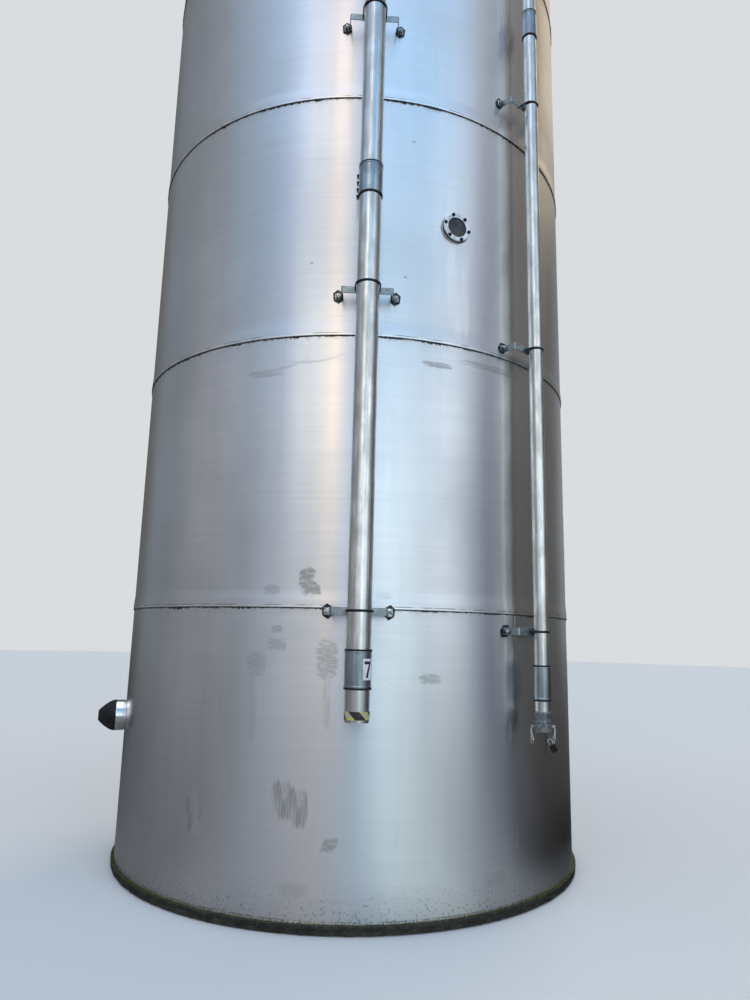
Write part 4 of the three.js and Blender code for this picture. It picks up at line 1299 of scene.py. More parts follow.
# %% A bent bar
def filleted(points, radius):
    """Rounds the inner corners of a flat line of points."""
    steps = 5
    result = [points[0]]
    for before, corner, after in zip(points, points[1:], points[2:]):
        corner = Vector(corner)
        one = (Vector(before) - corner).normalized()
        two = (Vector(after) - corner).normalized()
        half = one.angle(two) / 2
        reach = radius / math.tan(half)
        middle = corner + (one + two).normalized() * radius / math.sin(half)
        start, end = corner + one * reach - middle, corner + two * reach - middle
        for step in range(steps + 1):
            spoke = start.normalized().slerp(end.normalized(), step / steps)
            result.append(tuple(middle + spoke * radius))
    return result + [points[-1]]


def thickened(points, half):
    """The outline of a flat line given a thickness to both sides."""
    left, right = [], []
    for index, point in enumerate(points):
        before = Vector(points[max(index - 1, 0)])
        after = Vector(points[min(index + 1, len(points) - 1)])
        along = (after - before).normalized()
        side = Vector((-along.y, along.x)) * half
        left.append(tuple(Vector(point) + side))
        right.append(tuple(Vector(point) - side))
    return left + right[::-1]


BAR = {"height": 0.050, "plate": 0.006, "half": 0.178, "foot": 0.197, "foot_half": 0.023,
       "lift": 0.0012, "slope": 0.003, "bend": 0.009}
U_BOLT = {"bar": 0.005, "gap": 0.0025, "spread": 0.0045, "behind": 0.030, "taller": 1.6}


def on_wall(across, proud=0.0):
    """How far out the wall is at a distance across from the middle of a line."""
    return math.sqrt(SHELL ** 2 - across ** 2) + proud


def hat_bar(line, height):
    half, plate = BAR["half"], BAR["plate"]
    crown = line["offset"] - line["radius"] - SEAT - plate / 2
    outer = BAR["foot"] + BAR["foot_half"]
    lift = plate / 2 + BAR["lift"]
    right = [(half - BAR["slope"], crown), (half, on_wall(half, lift)),
             (outer, on_wall(outer, lift))]
    line_points = [(-x, v) for x, v in right[::-1]] + right
    outline = thickened(filleted(line_points, BAR["bend"]), plate / 2)
    shape = extruded([(x, -v) for x, v in outline], BAR["height"])
    return placed(shape, upright(line["azimuth"], 0.0, height - BAR["height"] / 2))


def u_bolt_points(line, height):
    ring = line["radius"] + U_BOLT["gap"]
    back = line["offset"] - line["radius"] - U_BOLT["behind"]
    leg = ring + U_BOLT["spread"]
    points = [(leg, back), (leg, line["offset"])]
    points += [(leg * math.cos(a), line["offset"] + ring * math.sin(a))
               for a in np.linspace(0, math.pi, 26)[1:-1]]
    points += [(-leg, line["offset"]), (-leg, back)]
    place = upright(line["azimuth"])
    return [place @ Vector((x, -v, height)) for x, v in points]


# %% Brackets up both lines
for line in (VENT, FILL):
    steps = {"Count": BRACKETS, "Step": line["step"]}
    bar = bevelled(solid("bar", hat_bar(line, line["bracket"])), 0.0012)
    bar.name = f"{line['name']}_hat_bars"
    grow(bar, stack, steps)
    dress(bar, bar_zinc,
          [f"{line['name']}_bracket_{i + 1}" for i in range(BRACKETS)])
    # A scale upright makes the round rod a taller oval. Its height is divided first, to stay put.
    rod = u_bolt_points(line, line["bracket"] / U_BOLT["taller"])
    clasp = swept(f"{line['name']}_u_bolts", rod, U_BOLT["bar"], 12)
    clasp.data.transform(Matrix.Diagonal((1, 1, U_BOLT["taller"], 1)))
    grow(clasp, stack, steps)
    dress(clasp, black_steel_and_shade)

# %% Nuts on the brackets
def foot_places(line, proud, spin):
    """Over both feet of each bar. A spin of one turns every nut differently, zero turns none."""
    places = []
    for index in range(BRACKETS):
        height = line["bracket"] + index * line["step"]
        for side in (-1, 1):
            across = side * BAR["foot"]
            turn = line["azimuth"] + math.degrees(math.asin(across / SHELL))
            outward = radial(turn, SHELL, height).col[2].to_3d()
            places.append((outward * (SHELL + proud) + Vector((0, 0, height)), outward,
                           spin * (17 * index + 40 * side)))
    return places


def strap_places(line):
    """Behind the bar, where the legs of the U-bolt come through."""
    places = []
    place = upright(line["azimuth"])
    for index in range(BRACKETS):
        height = line["bracket"] + index * line["step"]
        for side in (-1, 1):
            back = line["offset"] - line["radius"] - SEAT - BAR["plate"]
            across = side * (line["radius"] + U_BOLT["gap"] + U_BOLT["spread"])
            point = place @ Vector((across, -back, height))
            places.append((point, -radial(line["azimuth"], 1.0, 0).col[2].to_3d(), 25 * index))
    return places


ON_BAR = BAR["plate"] + BAR["lift"]
nuts = [fixed_on("nuts_a", foot_bolt, foot_places(VENT, ON_BAR, 1) + foot_places(FILL, ON_BAR, 1)),
        fixed_on("nuts_b", small_bolt, strap_places(VENT) + strap_places(FILL))]
dress(merged("bracket_nuts", nuts), nut_zinc)
dress(fixed_on("bracket_pads", pad, foot_places(VENT, 0.0, 0) + foot_places(FILL, 0.0, 0)),
      pad_zinc)

# %% [markdown]
# ## Couplings
#
# A split sleeve clamps a rubber gasket over each joint. The gasket shows as a thin dark ring at
# both ends. The sleeve is rolled, with a raised bead near each end, and bolts through two lugs
# behind it draw it tight.

# %% Sleeves, gaskets and lugs
COUPLING = {"length": 0.215, "gasket": 0.004, "sleeve": 0.004, "rim": 0.010,
            "lug_reach": 0.034, "lug_thick": 0.022, "lug_height": 0.028}
GASKET = {"half": 0.0052, "side": 0.0040, "rim": 0.0078, "bore": 0.0004}
LUGS = (-0.078, -0.026, 0.026, 0.078)


def sleeve_shape(line):
    half = COUPLING["length"] / 2
    inner = line["radius"] + SEAT
    thick = COUPLING["gasket"] + COUPLING["sleeve"]
    outer = line["radius"] + thick
    rim = COUPLING["rim"]
    side = [(outer - 0.0016, -half), (outer, -half + 0.0016), (outer, -half + rim),
            (outer - 0.0022, -half + rim + 0.003)]
    side += [(r, -z) for r, z in side[::-1]]
    return turned([(inner, -half)] + side + [(inner, half)], 64, loop=True)


def lug_shape(line, azimuth):
    """Four pairs of plates that stand out from the sleeve's split."""
    outer = line["radius"] + COUPLING["gasket"] + COUPLING["sleeve"]
    reach, thick, tall = COUPLING["lug_reach"], COUPLING["lug_thick"], COUPLING["lug_height"]
    plates = []
    for side in (-1, 1):
        outline = [(side * 0.0015, -outer + 0.004), (side * thick / 2, -outer + 0.004),
                   (side * thick / 2, -outer - reach + 0.004), (side * 0.0015, -outer - reach)]
        for step in LUGS:
            plate = placed(extruded(outline, tall), Matrix.Translation((0, 0, step - tall / 2)))
            plates.append(placed(plate, Matrix.Rotation(math.radians(azimuth), 4, "Z")))
    return joined(*plates)


def lug_bolts(line, height, azimuth):
    """A bolt through each pair of lugs, with its head and its nut to the sides."""
    outer = line["radius"] + COUPLING["gasket"] + COUPLING["sleeve"]
    middle = outer + COUPLING["lug_reach"] / 2
    place = upright(line["azimuth"], line["offset"], height)
    turn = Matrix.Rotation(math.radians(azimuth), 4, "Z")
    places = []
    for step in LUGS:
        for side in (-1, 1):
            local = turn @ Vector((side * COUPLING["lug_thick"] / 2, -middle, step))
            way = place.to_3x3() @ (turn.to_3x3() @ Vector((side, 0, 0)))
            places.append((place @ local, way, 400 * step))
    return places


gaskets, places = [], []
for line in (VENT, FILL):
    for index, (height, azimuth) in enumerate(zip(line["joints"], line["lugs"])):
        place = upright(line["azimuth"], line["offset"], height)
        name = f"{line['name']}_coupling_{index + 1}"
        shape = joined(sleeve_shape(line), lug_shape(line, azimuth))
        dress(solid(name, placed(shape, place)), sleeve_zinc, [name])
        bore, rim = line["radius"] + GASKET["bore"], line["radius"] + GASKET["rim"]
        for side in (-1, 1):
            middle = side * (COUPLING["length"] / 2 + GASKET["half"])
            lower = [(bore, -GASKET["half"]), (rim - 0.001, -GASKET["half"]),
                     (rim, -GASKET["side"])]
            outline = lower + [(r, -z) for r, z in lower[::-1]]
            gasket = turned([(r, middle + z) for r, z in outline], 48, loop=True)
            gaskets.append(solid("gasket", placed(gasket, place)))
        places += lug_bolts(line, height, azimuth)
dress(merged("coupling_gaskets", gaskets), rubber)
# The coupling bolts get the black steel as painted shade, for they sit in shadow.
dress(fixed_on("coupling_bolts", small_bolt, places), black_steel_and_shade)

# %% [markdown]
# ## Tape and number
#
# The open end of the vent has a band of yellow and black tape, and its coupling has a white label
# with a plain number. The tape is a thin sleeve whose stripes follow the angle and the height. The
# label and its number are thin patches that hug the sleeve's curve.

# %% Striped tape
TAPE = {"low": 1.246, "high": 1.294, "proud": 0.0006, "slant": 0.95, "period": 0.124,
        "start": 0.537, "black": 0.553}
tape_paint, tree, shader, place = new_material("striped_tape", 0.0, 0.38)
axis = upright(VENT["azimuth"], VENT["offset"]).translation
local = put(tree, "ShaderNodeVectorMath", {0: place, 1: tuple(axis)}, operation="SUBTRACT")
axes = put(tree, "ShaderNodeSeparateXYZ", {0: local.outputs[0]})
run = plus(tree, times(tree, angle_round(tree, axes), VENT["radius"]),
           times(tree, axes.outputs["Z"], TAPE["slant"]))
cycle = plus(tree, maths(tree, "DIVIDE", run, TAPE["period"]), TAPE["start"])
black_part = maths(tree, "LESS_THAN", maths(tree, "FRACT", cycle), TAPE["black"])
wear = cloudy(tree, place, (60.0, 60.0, 60.0), 4.0, 0.40, 0.75)
rubbed = cloudy(tree, place, (24.0, 24.0, 24.0), 3.0, 0.46, 0.56)
yellow = blend(tree, wear, (0.62, 0.52, 0.045), (0.46, 0.38, 0.05))
yellow = blend(tree, times(tree, rubbed, 0.75), yellow, (0.40, 0.40, 0.36))
inked = blend(tree, wear, (0.012, 0.012, 0.014), (0.040, 0.040, 0.040))
tree.links.new(blend(tree, black_part, yellow, inked), shader.inputs["Base Color"])
bumped(tree, shader, wear, 0.0003, 0.4)
tape_out = VENT["radius"] + TAPE["proud"]
tape = turned([(VENT["radius"] + 0.0001, TAPE["low"]), (tape_out, TAPE["low"]),
               (tape_out, TAPE["high"]), (VENT["radius"] + 0.0001, TAPE["high"])], 64, loop=True)
tape = placed(tape, upright(VENT["azimuth"], VENT["offset"]))
dress(solid("striped_tape", tape), tape_paint)

# %% Patches that hug a sleeve
PATCH = {"columns": 8, "thick": 0.0004}


def hugging(rows, radius, middle):
    """A closed patch on a cylinder from rows of (height, left, right) measured along it."""
    columns = PATCH["columns"]
    verts, faces = [], []
    for layer in (radius, radius + PATCH["thick"]):
        for height, left, right_edge in rows:
            for step in range(columns + 1):
                along = left + (right_edge - left) * step / columns
                turn = math.radians(middle) + along / radius
                verts.append((layer * math.sin(turn), -layer * math.cos(turn), height))
    wide, tall = columns + 1, len(rows)
    layer = wide * tall
    for row in range(tall - 1):
        for step in range(columns):
            at = row * wide + step
            faces.append([at, at + 1, at + wide + 1, at + wide])
            faces.append([layer + at, layer + at + wide, layer + at + wide + 1, layer + at + 1])
    rim = (list(range(wide)) + [r * wide + columns for r in range(1, tall)]
           + [(tall - 1) * wide + s for s in range(columns - 1, -1, -1)]
           + [r * wide for r in range(tall - 2, 0, -1)])
    for one, two in zip(rim, rim[1:] + rim[:1]):
        faces.append([one, layer + one, layer + two, two])
    return np.array(verts, float), faces


# %% White label and its number
label_paint, tree, shader, place = new_material("label_white", 0.0, 0.42)
grime = cloudy(tree, place, (40.0, 40.0, 14.0), 5.0, 0.45, 0.80)
tree.links.new(blend(tree, grime, (0.78, 0.79, 0.80), (0.42, 0.42, 0.40)),
               shader.inputs["Base Color"])
bumped(tree, shader, grime, 0.0002, 0.3)
ink_paint, tree, shader, place = new_material("number_black", 0.0, 0.5)
grime = cloudy(tree, place, (90.0, 90.0, 90.0), 4.0, 0.45, 0.80)
tree.links.new(blend(tree, grime, (0.010, 0.010, 0.012), (0.060, 0.060, 0.060)),
               shader.inputs["Base Color"])
LABEL = {"turn": 43.0, "half": 0.035, "low": 1.475, "high": 1.599, "number": 0.052,
         "margin": 0.015, "stroke": 0.017, "tall": 0.096}
outer = VENT["radius"] + COUPLING["gasket"] + COUPLING["sleeve"] - 0.0020
where = upright(VENT["azimuth"], VENT["offset"])
card = hugging([(LABEL["low"], -LABEL["half"], LABEL["half"]),
                (LABEL["high"], -LABEL["half"], LABEL["half"])], outer, LABEL["turn"])
dress(solid("number_label", placed(card, where)), label_paint)
half, top = LABEL["number"] / 2, LABEL["high"] - LABEL["margin"]
stroke, tall = LABEL["stroke"], LABEL["tall"]
bar_rows = [(top - stroke, -half, half), (top, -half, half)]
leg_rows = [(top - tall, -0.014, 0.002), (top - tall * 0.55, -0.004, 0.012),
            (top - stroke, half - stroke, half)]
on_card = outer + PATCH["thick"]
digit = joined(hugging(bar_rows, on_card, LABEL["turn"]), hugging(leg_rows, on_card, LABEL["turn"]))
dress(solid("number_seven", placed(digit, where)), ink_paint)

# %% [markdown]
# ## The capped end of the fill line
#
# The fill line ends low enough for a hose. A dark ribbed adapter takes a cast dust cap, and two cam
# arms with pull rings hold the cap on. A padlock hangs from the cap's hasp, and a fine chain keeps
# the cap from getting lost. These pieces stand square to the front, as their solids do.

# %% Adapter
SIDEWAYS = Matrix.Rotation(math.pi / 2, 4, "X")
end = Matrix.Translation(line_place(FILL) + (0,))
TUBE_IN = FILL["radius"] - TUBE_WALL
adapter = turned([(0.054, 1.152), (0.054, 1.189), (0.0570, 1.190), (0.0600, 1.193),
                  (0.0600, 1.2165), (0.0588, 1.2190), (0.0570, 1.2195), (0.0570, 1.2235),
                  (0.0588, 1.2240), (0.0600, 1.2265), (0.0600, 1.2500), (0.0605, 1.2535),
                  (0.0620, 1.2545), (0.0620, 1.2615), (0.0610, 1.2630), (TUBE_IN, 1.2630),
                  (TUBE_IN, 1.152)], 72, loop=True)
dress(solid("ribbed_adapter", placed(adapter, end)), adapter_metal,
      ["fill_adapter"])

# %% Dust cap
low, high, radius = CAP["low"], CAP["high"], CAP["radius"]
cup = turned([(0, low + 0.0015), (0.022, low + 0.0015), (0.024, low), (radius - 0.005, low),
              (radius - 0.001, low + 0.003), (radius, low + 0.009), (radius, high - 0.008),
              (0.0593, high - 0.0052), (0.0595, high - 0.0010), (0.0588, high), (0.0545, high),
              (0.0544, low + 0.008), (0, low + 0.008)], 72)


def flat_plate(outline, thick, place):
    """A plate with its outline in X and Z, its thickness along Y about the middle."""
    body = placed(extruded(outline, thick), Matrix.Translation((0, 0, -thick / 2)))
    return placed(body, place @ SIDEWAYS)


def ear_outline(side):
    reach, height, round_end = PIVOT["reach"], PIVOT["height"], 0.0080
    points = [(side * 0.0550, height - 0.0105), (side * (reach - 0.004), height - round_end)]
    points += [(side * (reach + round_end * math.sin(a)), height - round_end * math.cos(a))
               for a in np.linspace(0.2, math.pi - 0.2, 9)]
    return points + [(side * (reach - 0.004), height + round_end), (side * 0.0550, height + 0.0105)]


ears, pins = [], []
for side in (-1, 1):
    for way in (-1, 1):
        ears.append(flat_plate(ear_outline(side), 0.004,
                               Matrix.Translation((0, way * 0.0092, 0))))
    pin = placed(turned([(0, -0.0145), (0.0050, -0.0145), (0.0058, -0.0135), (0.0058, -0.0120),
                         (0.0040, -0.0116), (0.0040, 0.0116), (0.0058, 0.0120),
                         (0.0058, 0.0135), (0.0050, 0.0145), (0, 0.0145)], 20),
                 Matrix.Translation((side * PIVOT["reach"], 0, PIVOT["height"])) @ SIDEWAYS)
    pins.append(pin)
cast = bevelled(solid("dust_cap", placed(joined(cup, *ears), end)), 0.0008)
dress(solid("cap_pins", placed(joined(*pins), end)), nut_zinc)

# %% Hasp on the cap
hasp_top, hole, half_wide = low + 0.004, 0.0060, 0.011
outline = [(half_wide * math.sin(a), HASP["height"] - half_wide * math.cos(a))
           for a in np.linspace(-math.pi / 2, math.pi / 2, 13)]
outline += [(half_wide, hasp_top), (-half_wide, hasp_top)]
plate = solid("hasp", flat_plate(outline, 0.004, end @ Matrix.Translation(
    (HASP["reach"], 0, 0)) @ Matrix.Rotation(math.pi / 2, 4, "Z")))
holed(plate, placed(round_bar(hole, -0.02, 0.02, 24), end @ Matrix.Translation(
    (HASP["reach"], 0, HASP["height"])) @ Matrix.Rotation(math.pi / 2, 4, "Y")))
bevelled(plate, 0.0006)
dress(merged("dust_cap", [cast, plate]), cast_metal, ["fill_cap"])

# %% [markdown]
# Each cam arm is a lever with a round head on the pin and an eye at its end, where the pull ring
# hangs. Arm and ring ride on the arm's own body, so they swing with it.

# %% Cam arms and pull rings
ARM = {"cam": 0.009, "half": 0.006, "bar": 0.007, "drop": 0.076, "eye": 0.011, "hole": 0.006,
       "bore": 0.0044}


def arm_outline(side):
    """The lever in X and Z about its pin, a little bowed and thicker at the cam."""
    cam, bar, drop, eye = ARM["cam"], ARM["bar"], ARM["drop"], ARM["eye"]
    outer = side * cam
    points = [(cam * math.cos(a), cam * math.sin(a)) for a in np.linspace(0, math.pi, 13)]
    if side < 0:
        points = [(-x, z) for x, z in points]
    inner = outer - side * bar
    down = [(inner, -0.012), (inner - side * 0.0010, -0.040)]
    ring = [(-side * eye * math.cos(a), -drop - eye * math.sin(a))
            for a in np.linspace(-0.9, math.pi + 0.6, 19)]
    back = [(outer, -drop + eye * 0.8), (outer + side * 0.0008, -0.040)]
    return points + down + ring + back


def lever(side):
    place = end @ Matrix.Translation((side * PIVOT["reach"], 0, PIVOT["height"]))
    thing = solid("lever", flat_plate(arm_outline(side), 2 * ARM["half"], place))
    for height, radius in ((0.0, ARM["bore"]), (-ARM["drop"], ARM["hole"])):
        holed(thing, placed(round_bar(radius, -0.03, 0.03, 20),
                            place @ Matrix.Translation((0, 0, height)) @ SIDEWAYS))
    return bevelled(thing, 0.0010)


RING = {"radius": 0.0150, "bar": 0.0016, "lean": 24, "below": 0.0038}
for side, name in ((-1, "cam_arm_left"), (1, "cam_arm_right")):
    arm = lever(side)
    middle = Vector((side * PIVOT["reach"], 0,
                     PIVOT["height"] - ARM["drop"] - RING["below"] - RING["radius"]))
    lean = math.radians(RING["lean"] * side)
    points = [end @ (middle + Vector((math.sin(a) * RING["radius"] * math.sin(lean),
                                      math.sin(a) * RING["radius"] * math.cos(lean),
                                      math.cos(a) * RING["radius"]))) for a in circle(40)]
    pull = swept(f"{name}_ring", points, RING["bar"], 10, True)
    dress(merged(f"{name}_lever", [arm]), arm_metal, [name], name)
    dress(pull, arm_metal, (), name)

# %% Padlock
# The bow goes through the hasp's hole, just clear of its lower edge, and the lock leans outwards.
SHACKLE = {"half": 0.0125, "bar": 0.0035, "leg": 0.033, "clear": 0.0008, "lean": -26}
hang = hole + SHACKLE["half"] - SHACKLE["bar"] - SHACKLE["clear"]
lock_place = end @ Matrix.Translation((HASP["reach"], 0, HASP["height"] - hang))
lock_place = lock_place @ Matrix.Rotation(math.radians(SHACKLE["lean"]), 4, "Y")
block = [(-0.020, -0.074), (-0.017, -0.076), (0.017, -0.076), (0.020, -0.074), (0.020, -0.034),
         (0.016, -0.030), (-0.016, -0.030), (-0.020, -0.034)]
block = bevelled(solid("lock_block", flat_plate(block, 0.020, lock_place)), 0.0022, 3)
half, leg = SHACKLE["half"], SHACKLE["leg"]
bow = [(half * math.cos(a), half * math.sin(a)) for a in np.linspace(math.pi, 0, 17)[1:-1]]
bow = [(-half, -leg), (-half, 0.0), *bow, (half, 0.0), (half, -leg)]
shackle = swept("shackle", [lock_place @ Vector((x, 0, z)) for x, z in bow], SHACKLE["bar"], 14)
collar_rings = []
for side in (-1, 1):
    collar = turned([(0.0037, -0.0320), (0.0058, -0.0320), (0.0054, -0.0285),
                     (0.0037, -0.0280)], 20, loop=True)
    collar_rings.append(solid("collar", placed(
        collar, lock_place @ Matrix.Translation((side * half, 0, 0)))))
dress(merged("padlock_case", [block, *collar_rings]), lock_black, ["padlock"])
dress(shackle, arm_metal)

# %% [markdown]
# The chain is a run of small links that hangs straight down from an eye under the cap, pulled taut
# by its own weight, and it ends in a ring. Each link is one closed ring, drawn out to an oval, and
# every second one is turned by a quarter. The fixing tree sets them along the line.

# %% Chain
LINK = {"half": 0.0042, "long": 0.0078, "bar": 0.0013, "step": 0.0126, "count": 9}
EYE = {"radius": 0.0062, "bar": 0.0016}
END_RING = {"radius": 0.0080, "bar": 0.0014}


def upright_ring(centre, radius, turn):
    """Points of a ring that stands up and faces an azimuth."""
    return [centre + Vector((math.cos(turn) * radius * math.cos(a),
                             math.sin(turn) * radius * math.cos(a), radius * math.sin(a)))
            for a in circle(24)]


link = swept("link", [(LINK["half"] * math.cos(a), 0.0, LINK["long"] * math.sin(a))
                      for a in circle(14)], LINK["bar"], 6, True)
kinds.append(link)
eye_middle = end @ Vector((0.010, -0.024, CAP["low"] - 0.0030))
first = eye_middle - Vector((0, 0, EYE["radius"] + LINK["long"] - 2 * LINK["bar"]))
places = [(first - Vector((0, 0, index * LINK["step"])), Vector((0, 0, 1)), 90 * (index % 2) + 90)
          for index in range(LINK["count"])]
last = places[-1][0] - Vector((0, 0, LINK["long"] + END_RING["radius"] - 2 * LINK["bar"]))
chain = [fixed_on("links", link, places),
         swept("eye", upright_ring(eye_middle, EYE["radius"], 0.0), EYE["bar"], 8, True),
         swept("end_ring", upright_ring(last, END_RING["radius"], 0.5), END_RING["bar"], 8, True)]
dress(merged("cap_chain", chain), black_steel_and_shade)

# %% [markdown]
# ## Sight glass
#
# A thick ring is welded to the wall between the lines, with a pane in its bore. A black packing
# closes its side and also stands for the painted shade on that side, and six bolts stand in its
# face. The inside of the silo is dark, so the pane is dark too, and a film of dust dulls it. A
# black seal round the pane is also painted shade inside the bore.

# %% Ring, bolts and pane
def wall_weld(name, place, radius, thick):
    """A weld bead where a round piece meets the curved wall."""
    points = [place @ Vector((radius * math.sin(a), radius * math.cos(a),
                              on_wall(radius * math.sin(a), 0.0006))) for a in circle(120)]
    dress(swept(name, points, thick, 8, True, 0.5, 0.012), weld_metal)


outer, back = SHELL + GLASS["proud"], SHELL - 0.02
wide, bore = GLASS["flange"], GLASS["window"]
facing_wall = radial(GLASS["azimuth"], 0.0, GLASS["height"])
lip = 0.0016
ring = turned([(bore, back), (wide, back), (wide, outer - 0.0060), (wide - lip, outer - 0.0045),
               (wide - 0.0022, outer - lip), (wide - 0.0040, outer), (bore + 0.0135, outer),
               (bore + 0.0120, outer - 0.0014), (bore + lip, outer - 0.0014),
               (bore, outer - 0.0030)], 96, loop=True)
dress(solid("glass_ring", placed(ring, facing_wall)), ring_metal,
      ["sight_glass_flange"])
# The packing is black rubber and painted shade on the ring's side.
packing_and_shade = turned([(wide - 0.003, SHELL - 0.012), (wide + 0.0003, SHELL - 0.012),
                  (wide + 0.0003, outer - 0.0085), (wide - 0.003, outer - 0.0085)], 96, loop=True)
dress(solid("glass_packing", placed(packing_and_shade, facing_wall)), rubber)
wall_weld("glass_ring_weld", facing_wall, wide, 0.0036)
BOLT_ANGLES = (-20, 40, 100, 160, 220, 280)
places = []
for angle in BOLT_ANGLES:
    turn, reach = math.radians(angle), (wide + bore) / 2 + 0.004
    point = facing_wall @ Vector((reach * math.sin(turn), reach * math.cos(turn), outer - 0.0004))
    places.append((point, facing_wall.col[2].to_3d(), angle))
dress(fixed_on("glass_bolts", ring_bolt, places), black_steel_and_shade)
pane_out = outer - 0.008
pane = turned([(0, pane_out - 0.010), (bore - SEAT, pane_out - 0.010), (bore - SEAT, pane_out),
               (bore - 0.003, pane_out + 0.0004), (0, pane_out + 0.0006)], 96)
glass, tree, shader, place = new_material("dusty_glass", 0.0, 0.12)
dust = cloudy(tree, place, (26.0, 26.0, 26.0), 5.0, 0.40, 0.85)
tree.links.new(blend(tree, dust, (0.010, 0.011, 0.012), (0.075, 0.080, 0.085)),
               shader.inputs["Base Color"])
tree.links.new(between(tree, dust, 0.06, 0.45), shader.inputs["Roughness"])
dress(solid("dusty_pane", placed(pane, facing_wall)), glass, ["sight_glass_pane"])
# The seal is black rubber and painted shade inside the bore.
seal_and_bore_shade = turned([(bore - 0.0050, pane_out), (bore - 0.0004, pane_out),
               (bore - 0.0004, outer - 0.0040), (bore - 0.0030, outer - 0.0044)], 96, loop=True)
dress(solid("pane_seal", placed(seal_and_bore_shade, facing_wall)), rubber)

# %% [markdown]
# ## Outlet
#
# Low on the left a short stub comes through the wall. A rubber boot is pushed over it and drawn in
# to a narrow mouth, with soft folds round it where the rubber has settled. A broad clamp band
# holds the boot.

# %% Stub, boot and clamp
on_outlet = radial(OUTLET["azimuth"], 0.0, OUTLET["height"])


def on_stub(outline, sides=96):
    return placed(turned([(r, SHELL + d) for r, d in outline], sides, loop=True), on_outlet)


neck = OUTLET["neck"]
stub = on_stub([(neck, -0.030), (neck, 0.065), (neck - 0.001, 0.066), (neck - 0.005, 0.066),
                (neck - 0.006, 0.065), (neck - 0.006, -0.030)])
dress(solid("outlet_stub", stub), ring_metal, ["outlet_neck"])
sleeve_in, sleeve_out = neck + SEAT, neck + SEAT + 0.0034
folds = [(0.1152, 0.074), (0.1150, 0.0800), (0.1143, 0.0870), (0.1120, 0.0965), (0.1100, 0.1030),
         (0.1088, 0.1070), (0.1052, 0.1145), (0.1010, 0.1225), (0.0960, 0.1305), (0.0900, 0.1400),
         (0.0838, 0.1490), (0.0762, 0.1585), (0.0680, 0.1685), (0.0585, 0.1790), (0.0490, 0.1890),
         (0.0400, 0.1965), (0.0380, 0.2000)]
inside = [(r - 0.0045, d - 0.001) for r, d in folds[::-1] if d > 0.09]
boot = on_stub([(sleeve_out, 0.014), (sleeve_out, 0.0723)] + folds + inside
               + [(sleeve_in, 0.068), (sleeve_in, 0.014)])
centre = on_outlet.translation
outward = on_outlet.col[2].to_3d()
for vert in boot[0]:
    local = Vector(vert) - centre
    out = local.dot(outward) - SHELL
    side_way = local - outward * local.dot(outward)
    ease = min(max((out - 0.085) / 0.05, 0.0), 1.0)
    turn = math.atan2(side_way.z, side_way.dot(on_outlet.col[0].to_3d()))
    fold = 1.0 - ease * 0.022 * (0.5 + 0.5 * math.sin(7 * turn + 1.0))
    vert += np.array(side_way * (fold - 1.0))
dress(solid("rubber_boot", boot, 60.0), rubber, ["outlet_boot"])
clamp_in = sleeve_out + SEAT
section = [(0, 0.010), (0.0020, 0.010), (0.0025, 0.0112), (0.0025, 0.0170), (0.0012, 0.0185),
           (0.0012, 0.0635), (0.0025, 0.0650), (0.0025, 0.0708), (0.0020, 0.072), (0, 0.072)]
band = on_stub([(clamp_in + r, d) for r, d in section], 128)
dress(solid("clamp_band", band), band_metal, ["outlet_clamp"])
wall_weld("outlet_weld", on_outlet, neck, 0.0042)

# %% Take the models of the fixings away
for model in kinds:
    bpy.data.objects.remove(model)
print(len(made_pieces), "pieces made")

# %% [markdown]
# ## Studio
#
# A bright metal wall shows whatever stands around it, so the light here is a plain studio of a few
# large soft panels. They are drawn in the world by azimuth and elevation: wide cool ones in front,
# a narrow warm one, dim ones at the sides and the back, and one overhead. The camera itself sees a
# pale backdrop and a pale floor instead.

# %% Soft panels around the silo
studio, entry, leave = new_group("studio_panels", "ShaderNodeTree", [("Direction", VECTOR, None)],
                                 [("Colour", COLOUR)])
unit = put(studio, "ShaderNodeVectorMath", {0: entry.outputs["Direction"]}, operation="NORMALIZE")
axes = put(studio, "ShaderNodeSeparateXYZ", {0: unit.outputs[0]})
azimuth_seen = times(studio, angle_round(studio, axes), TO_DEGREES)
height_seen = times(studio, maths(studio, "ARCSINE", axes.outputs["Z"]), TO_DEGREES)


def window(tree, value, centre, half, soft):
    """One inside a band, fading to zero outside it."""
    off = maths(tree, "ABSOLUTE", minus(tree, value, centre))
    return falling(tree, off, half, half + soft)


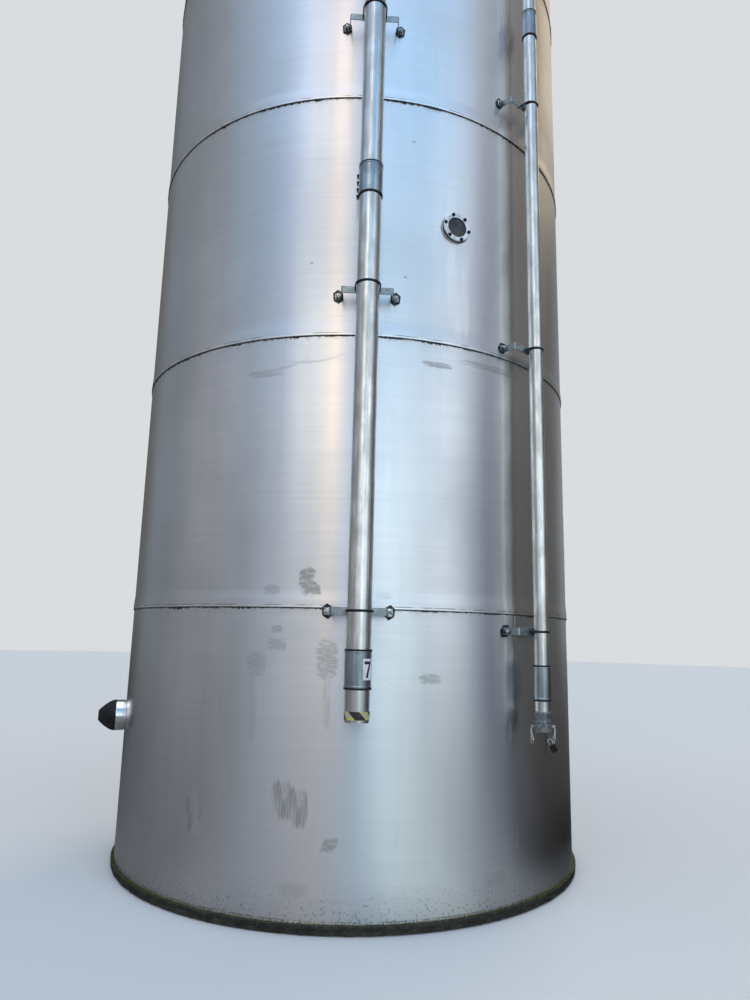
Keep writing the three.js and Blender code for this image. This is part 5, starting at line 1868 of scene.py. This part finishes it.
# Name, centre, half width and softness in azimuth, the same in elevation, colour.
PANELS = [
    ("all round", 0, 180, 1, 10, 120, 20, (0.133, 0.131, 0.127)),
    ("front left", -17, 8, 34, 10, 36, 40, (0.34, 0.39, 0.49)),
    ("mid left", -22, 6, 12, 28, 10, 12, (0.57, 0.56, 0.41)),
    ("low left", -12, 26, 20, 0, 10, 12, (0.24, 0.225, 0.235)),
    ("floor left", -80, 45, 16, 0, 2, 8, (0.07, 0.07, 0.07)),
    ("floor middle", 20, 7, 8, 0, 2, 8, (0.36, 0.52, 0.48)),
    ("front right", 30, 15, 30, -8, 30, 20, (0.39, 0.72, 0.95)),
    ("high right", 30, 15, 30, 62, 20, 20, (0.05, 0.36, 0.77)),
    ("warm strip", -12, 1.0, 4.5, 34, 20, 12, (1.05, 0.60, 0.13)),
    ("high left", -55, 14, 17, 48, 13, 15, (0.11, 0.27, 0.44)),
    ("upper left", -30, 12, 14, 55, 14, 12, (0.0, 0.0, 0.18)),
    ("low front right", 34, 12, 24, 4, 16, 18, (0.34, 0.13, 0.0)),
    ("right middle", 52, 8, 12, 24, 12, 12, (0.30, 0.28, 0.28)),
    ("left side", -88, 38, 14, 10, 60, 20, (0.094, 0.124, 0.163)),
    ("left fill", -76, 10, 24, 20, 20, 18, (0.121, 0.107, 0.109)),
    ("right side", 72, 7, 12, 10, 60, 20, (0.015, 0.028, 0.095)),
    ("edge strip", 78, 0.8, 3, 30, 20, 20, (0.66, 0.71, 0.70)),
    ("high side", 92, 18, 14, 45, 10, 14, (0.050, 0.040, 0.030)),
    ("behind right", 142, 16, 12, 54, 14, 14, (1.25, 1.02, 0.71)),
    ("right rim", 152, 8, 12, 34, 26, 18, (0.17, 0.20, 0.22)),
    ("rim line", 160, 1.5, 2.5, 25, 35, 12, (1.0, 1.0, 0.9)),
    ("overhead", 0, 180, 1, 90, 18, 22, (1.6, 1.75, 1.95)),
]
total = None
for name, centre, half, soft, level_at, level_half, level_soft, tint in PANELS:
    share = times(studio, window(studio, azimuth_seen, centre, half, soft),
                  window(studio, height_seen, level_at, level_half, level_soft))
    glow = put(studio, "ShaderNodeVectorMath", {0: tint, "Scale": share}, operation="SCALE")
    glow.label = name
    total = glow.outputs[0] if total is None else put(
        studio, "ShaderNodeVectorMath", {0: total, 1: glow.outputs[0]}, operation="ADD").outputs[0]
studio.links.new(total, leave.inputs["Colour"])
print(len(PANELS), "panels")

# %% World
BACKDROP = (0.70, 0.72, 0.74, 1.0)
world = bpy.data.worlds.new("studio")
bpy.context.scene.world = world
world.use_nodes = True
tree = world.node_tree
toward = tree.nodes.new("ShaderNodeTexCoord").outputs["Generated"]
panels = put(tree, "ShaderNodeGroup", {"Direction": toward}, node_tree=studio)
rays = tree.nodes.new("ShaderNodeLightPath")
seen = put(tree, "ShaderNodeMix", {0: rays.outputs["Is Camera Ray"], 6: panels.outputs[0],
                                   7: BACKDROP}, data_type="RGBA")
tree.links.new(seen.outputs[2], tree.nodes["Background"].inputs["Color"])
bpy.context.scene.view_settings.view_transform = "Standard"

# %% Floor
# What the metal mirrors of the floor is a share of the panels. It is darker close by, at the right
# and behind.
FLOOR_RADIUS, FLOOR_TONE, GLOW = 60, (0.72, 0.72, 0.71, 1.0), 0.30
SHADE = {"azimuth": (128, 50, 46), "reach": (0, 2.6, 2.6), "depth": 0.90}
floor = solid("floor", turned([(0, 0), (FLOOR_RADIUS, 0)], 96))
floor_paint = bpy.data.materials.new("floor_paint")
floor_paint.use_nodes = True
tree = floor_paint.node_tree
shader = tree.nodes["Principled BSDF"]
shader.inputs["Base Color"].default_value = FLOOR_TONE
shader.inputs["Roughness"].default_value = 0.9
place = tree.nodes.new("ShaderNodeTexCoord").outputs["Object"]
panels = put(tree, "ShaderNodeGroup", {"Direction": place}, node_tree=studio)
axes = put(tree, "ShaderNodeSeparateXYZ", {0: place})
reach = put(tree, "ShaderNodeVectorMath", {0: place}, operation="LENGTH").outputs["Value"]
around_z = times(tree, angle_round(tree, axes), TO_DEGREES)
shade = times(tree, window(tree, around_z, *SHADE["azimuth"]), window(tree, reach, *SHADE["reach"]))
share = times(tree, minus(tree, 1.0, times(tree, shade, SHADE["depth"])), GLOW)
glow = put(tree, "ShaderNodeEmission", {"Color": panels.outputs[0], "Strength": share})
rays = tree.nodes.new("ShaderNodeLightPath")
chosen = put(tree, "ShaderNodeMixShader", {0: rays.outputs["Is Glossy Ray"],
                                           1: shader.outputs[0], 2: glow.outputs[0]})
tree.links.new(chosen.outputs[0], tree.nodes["Material Output"].inputs["Surface"])
floor.data.materials.append(floor_paint)
print("studio set")
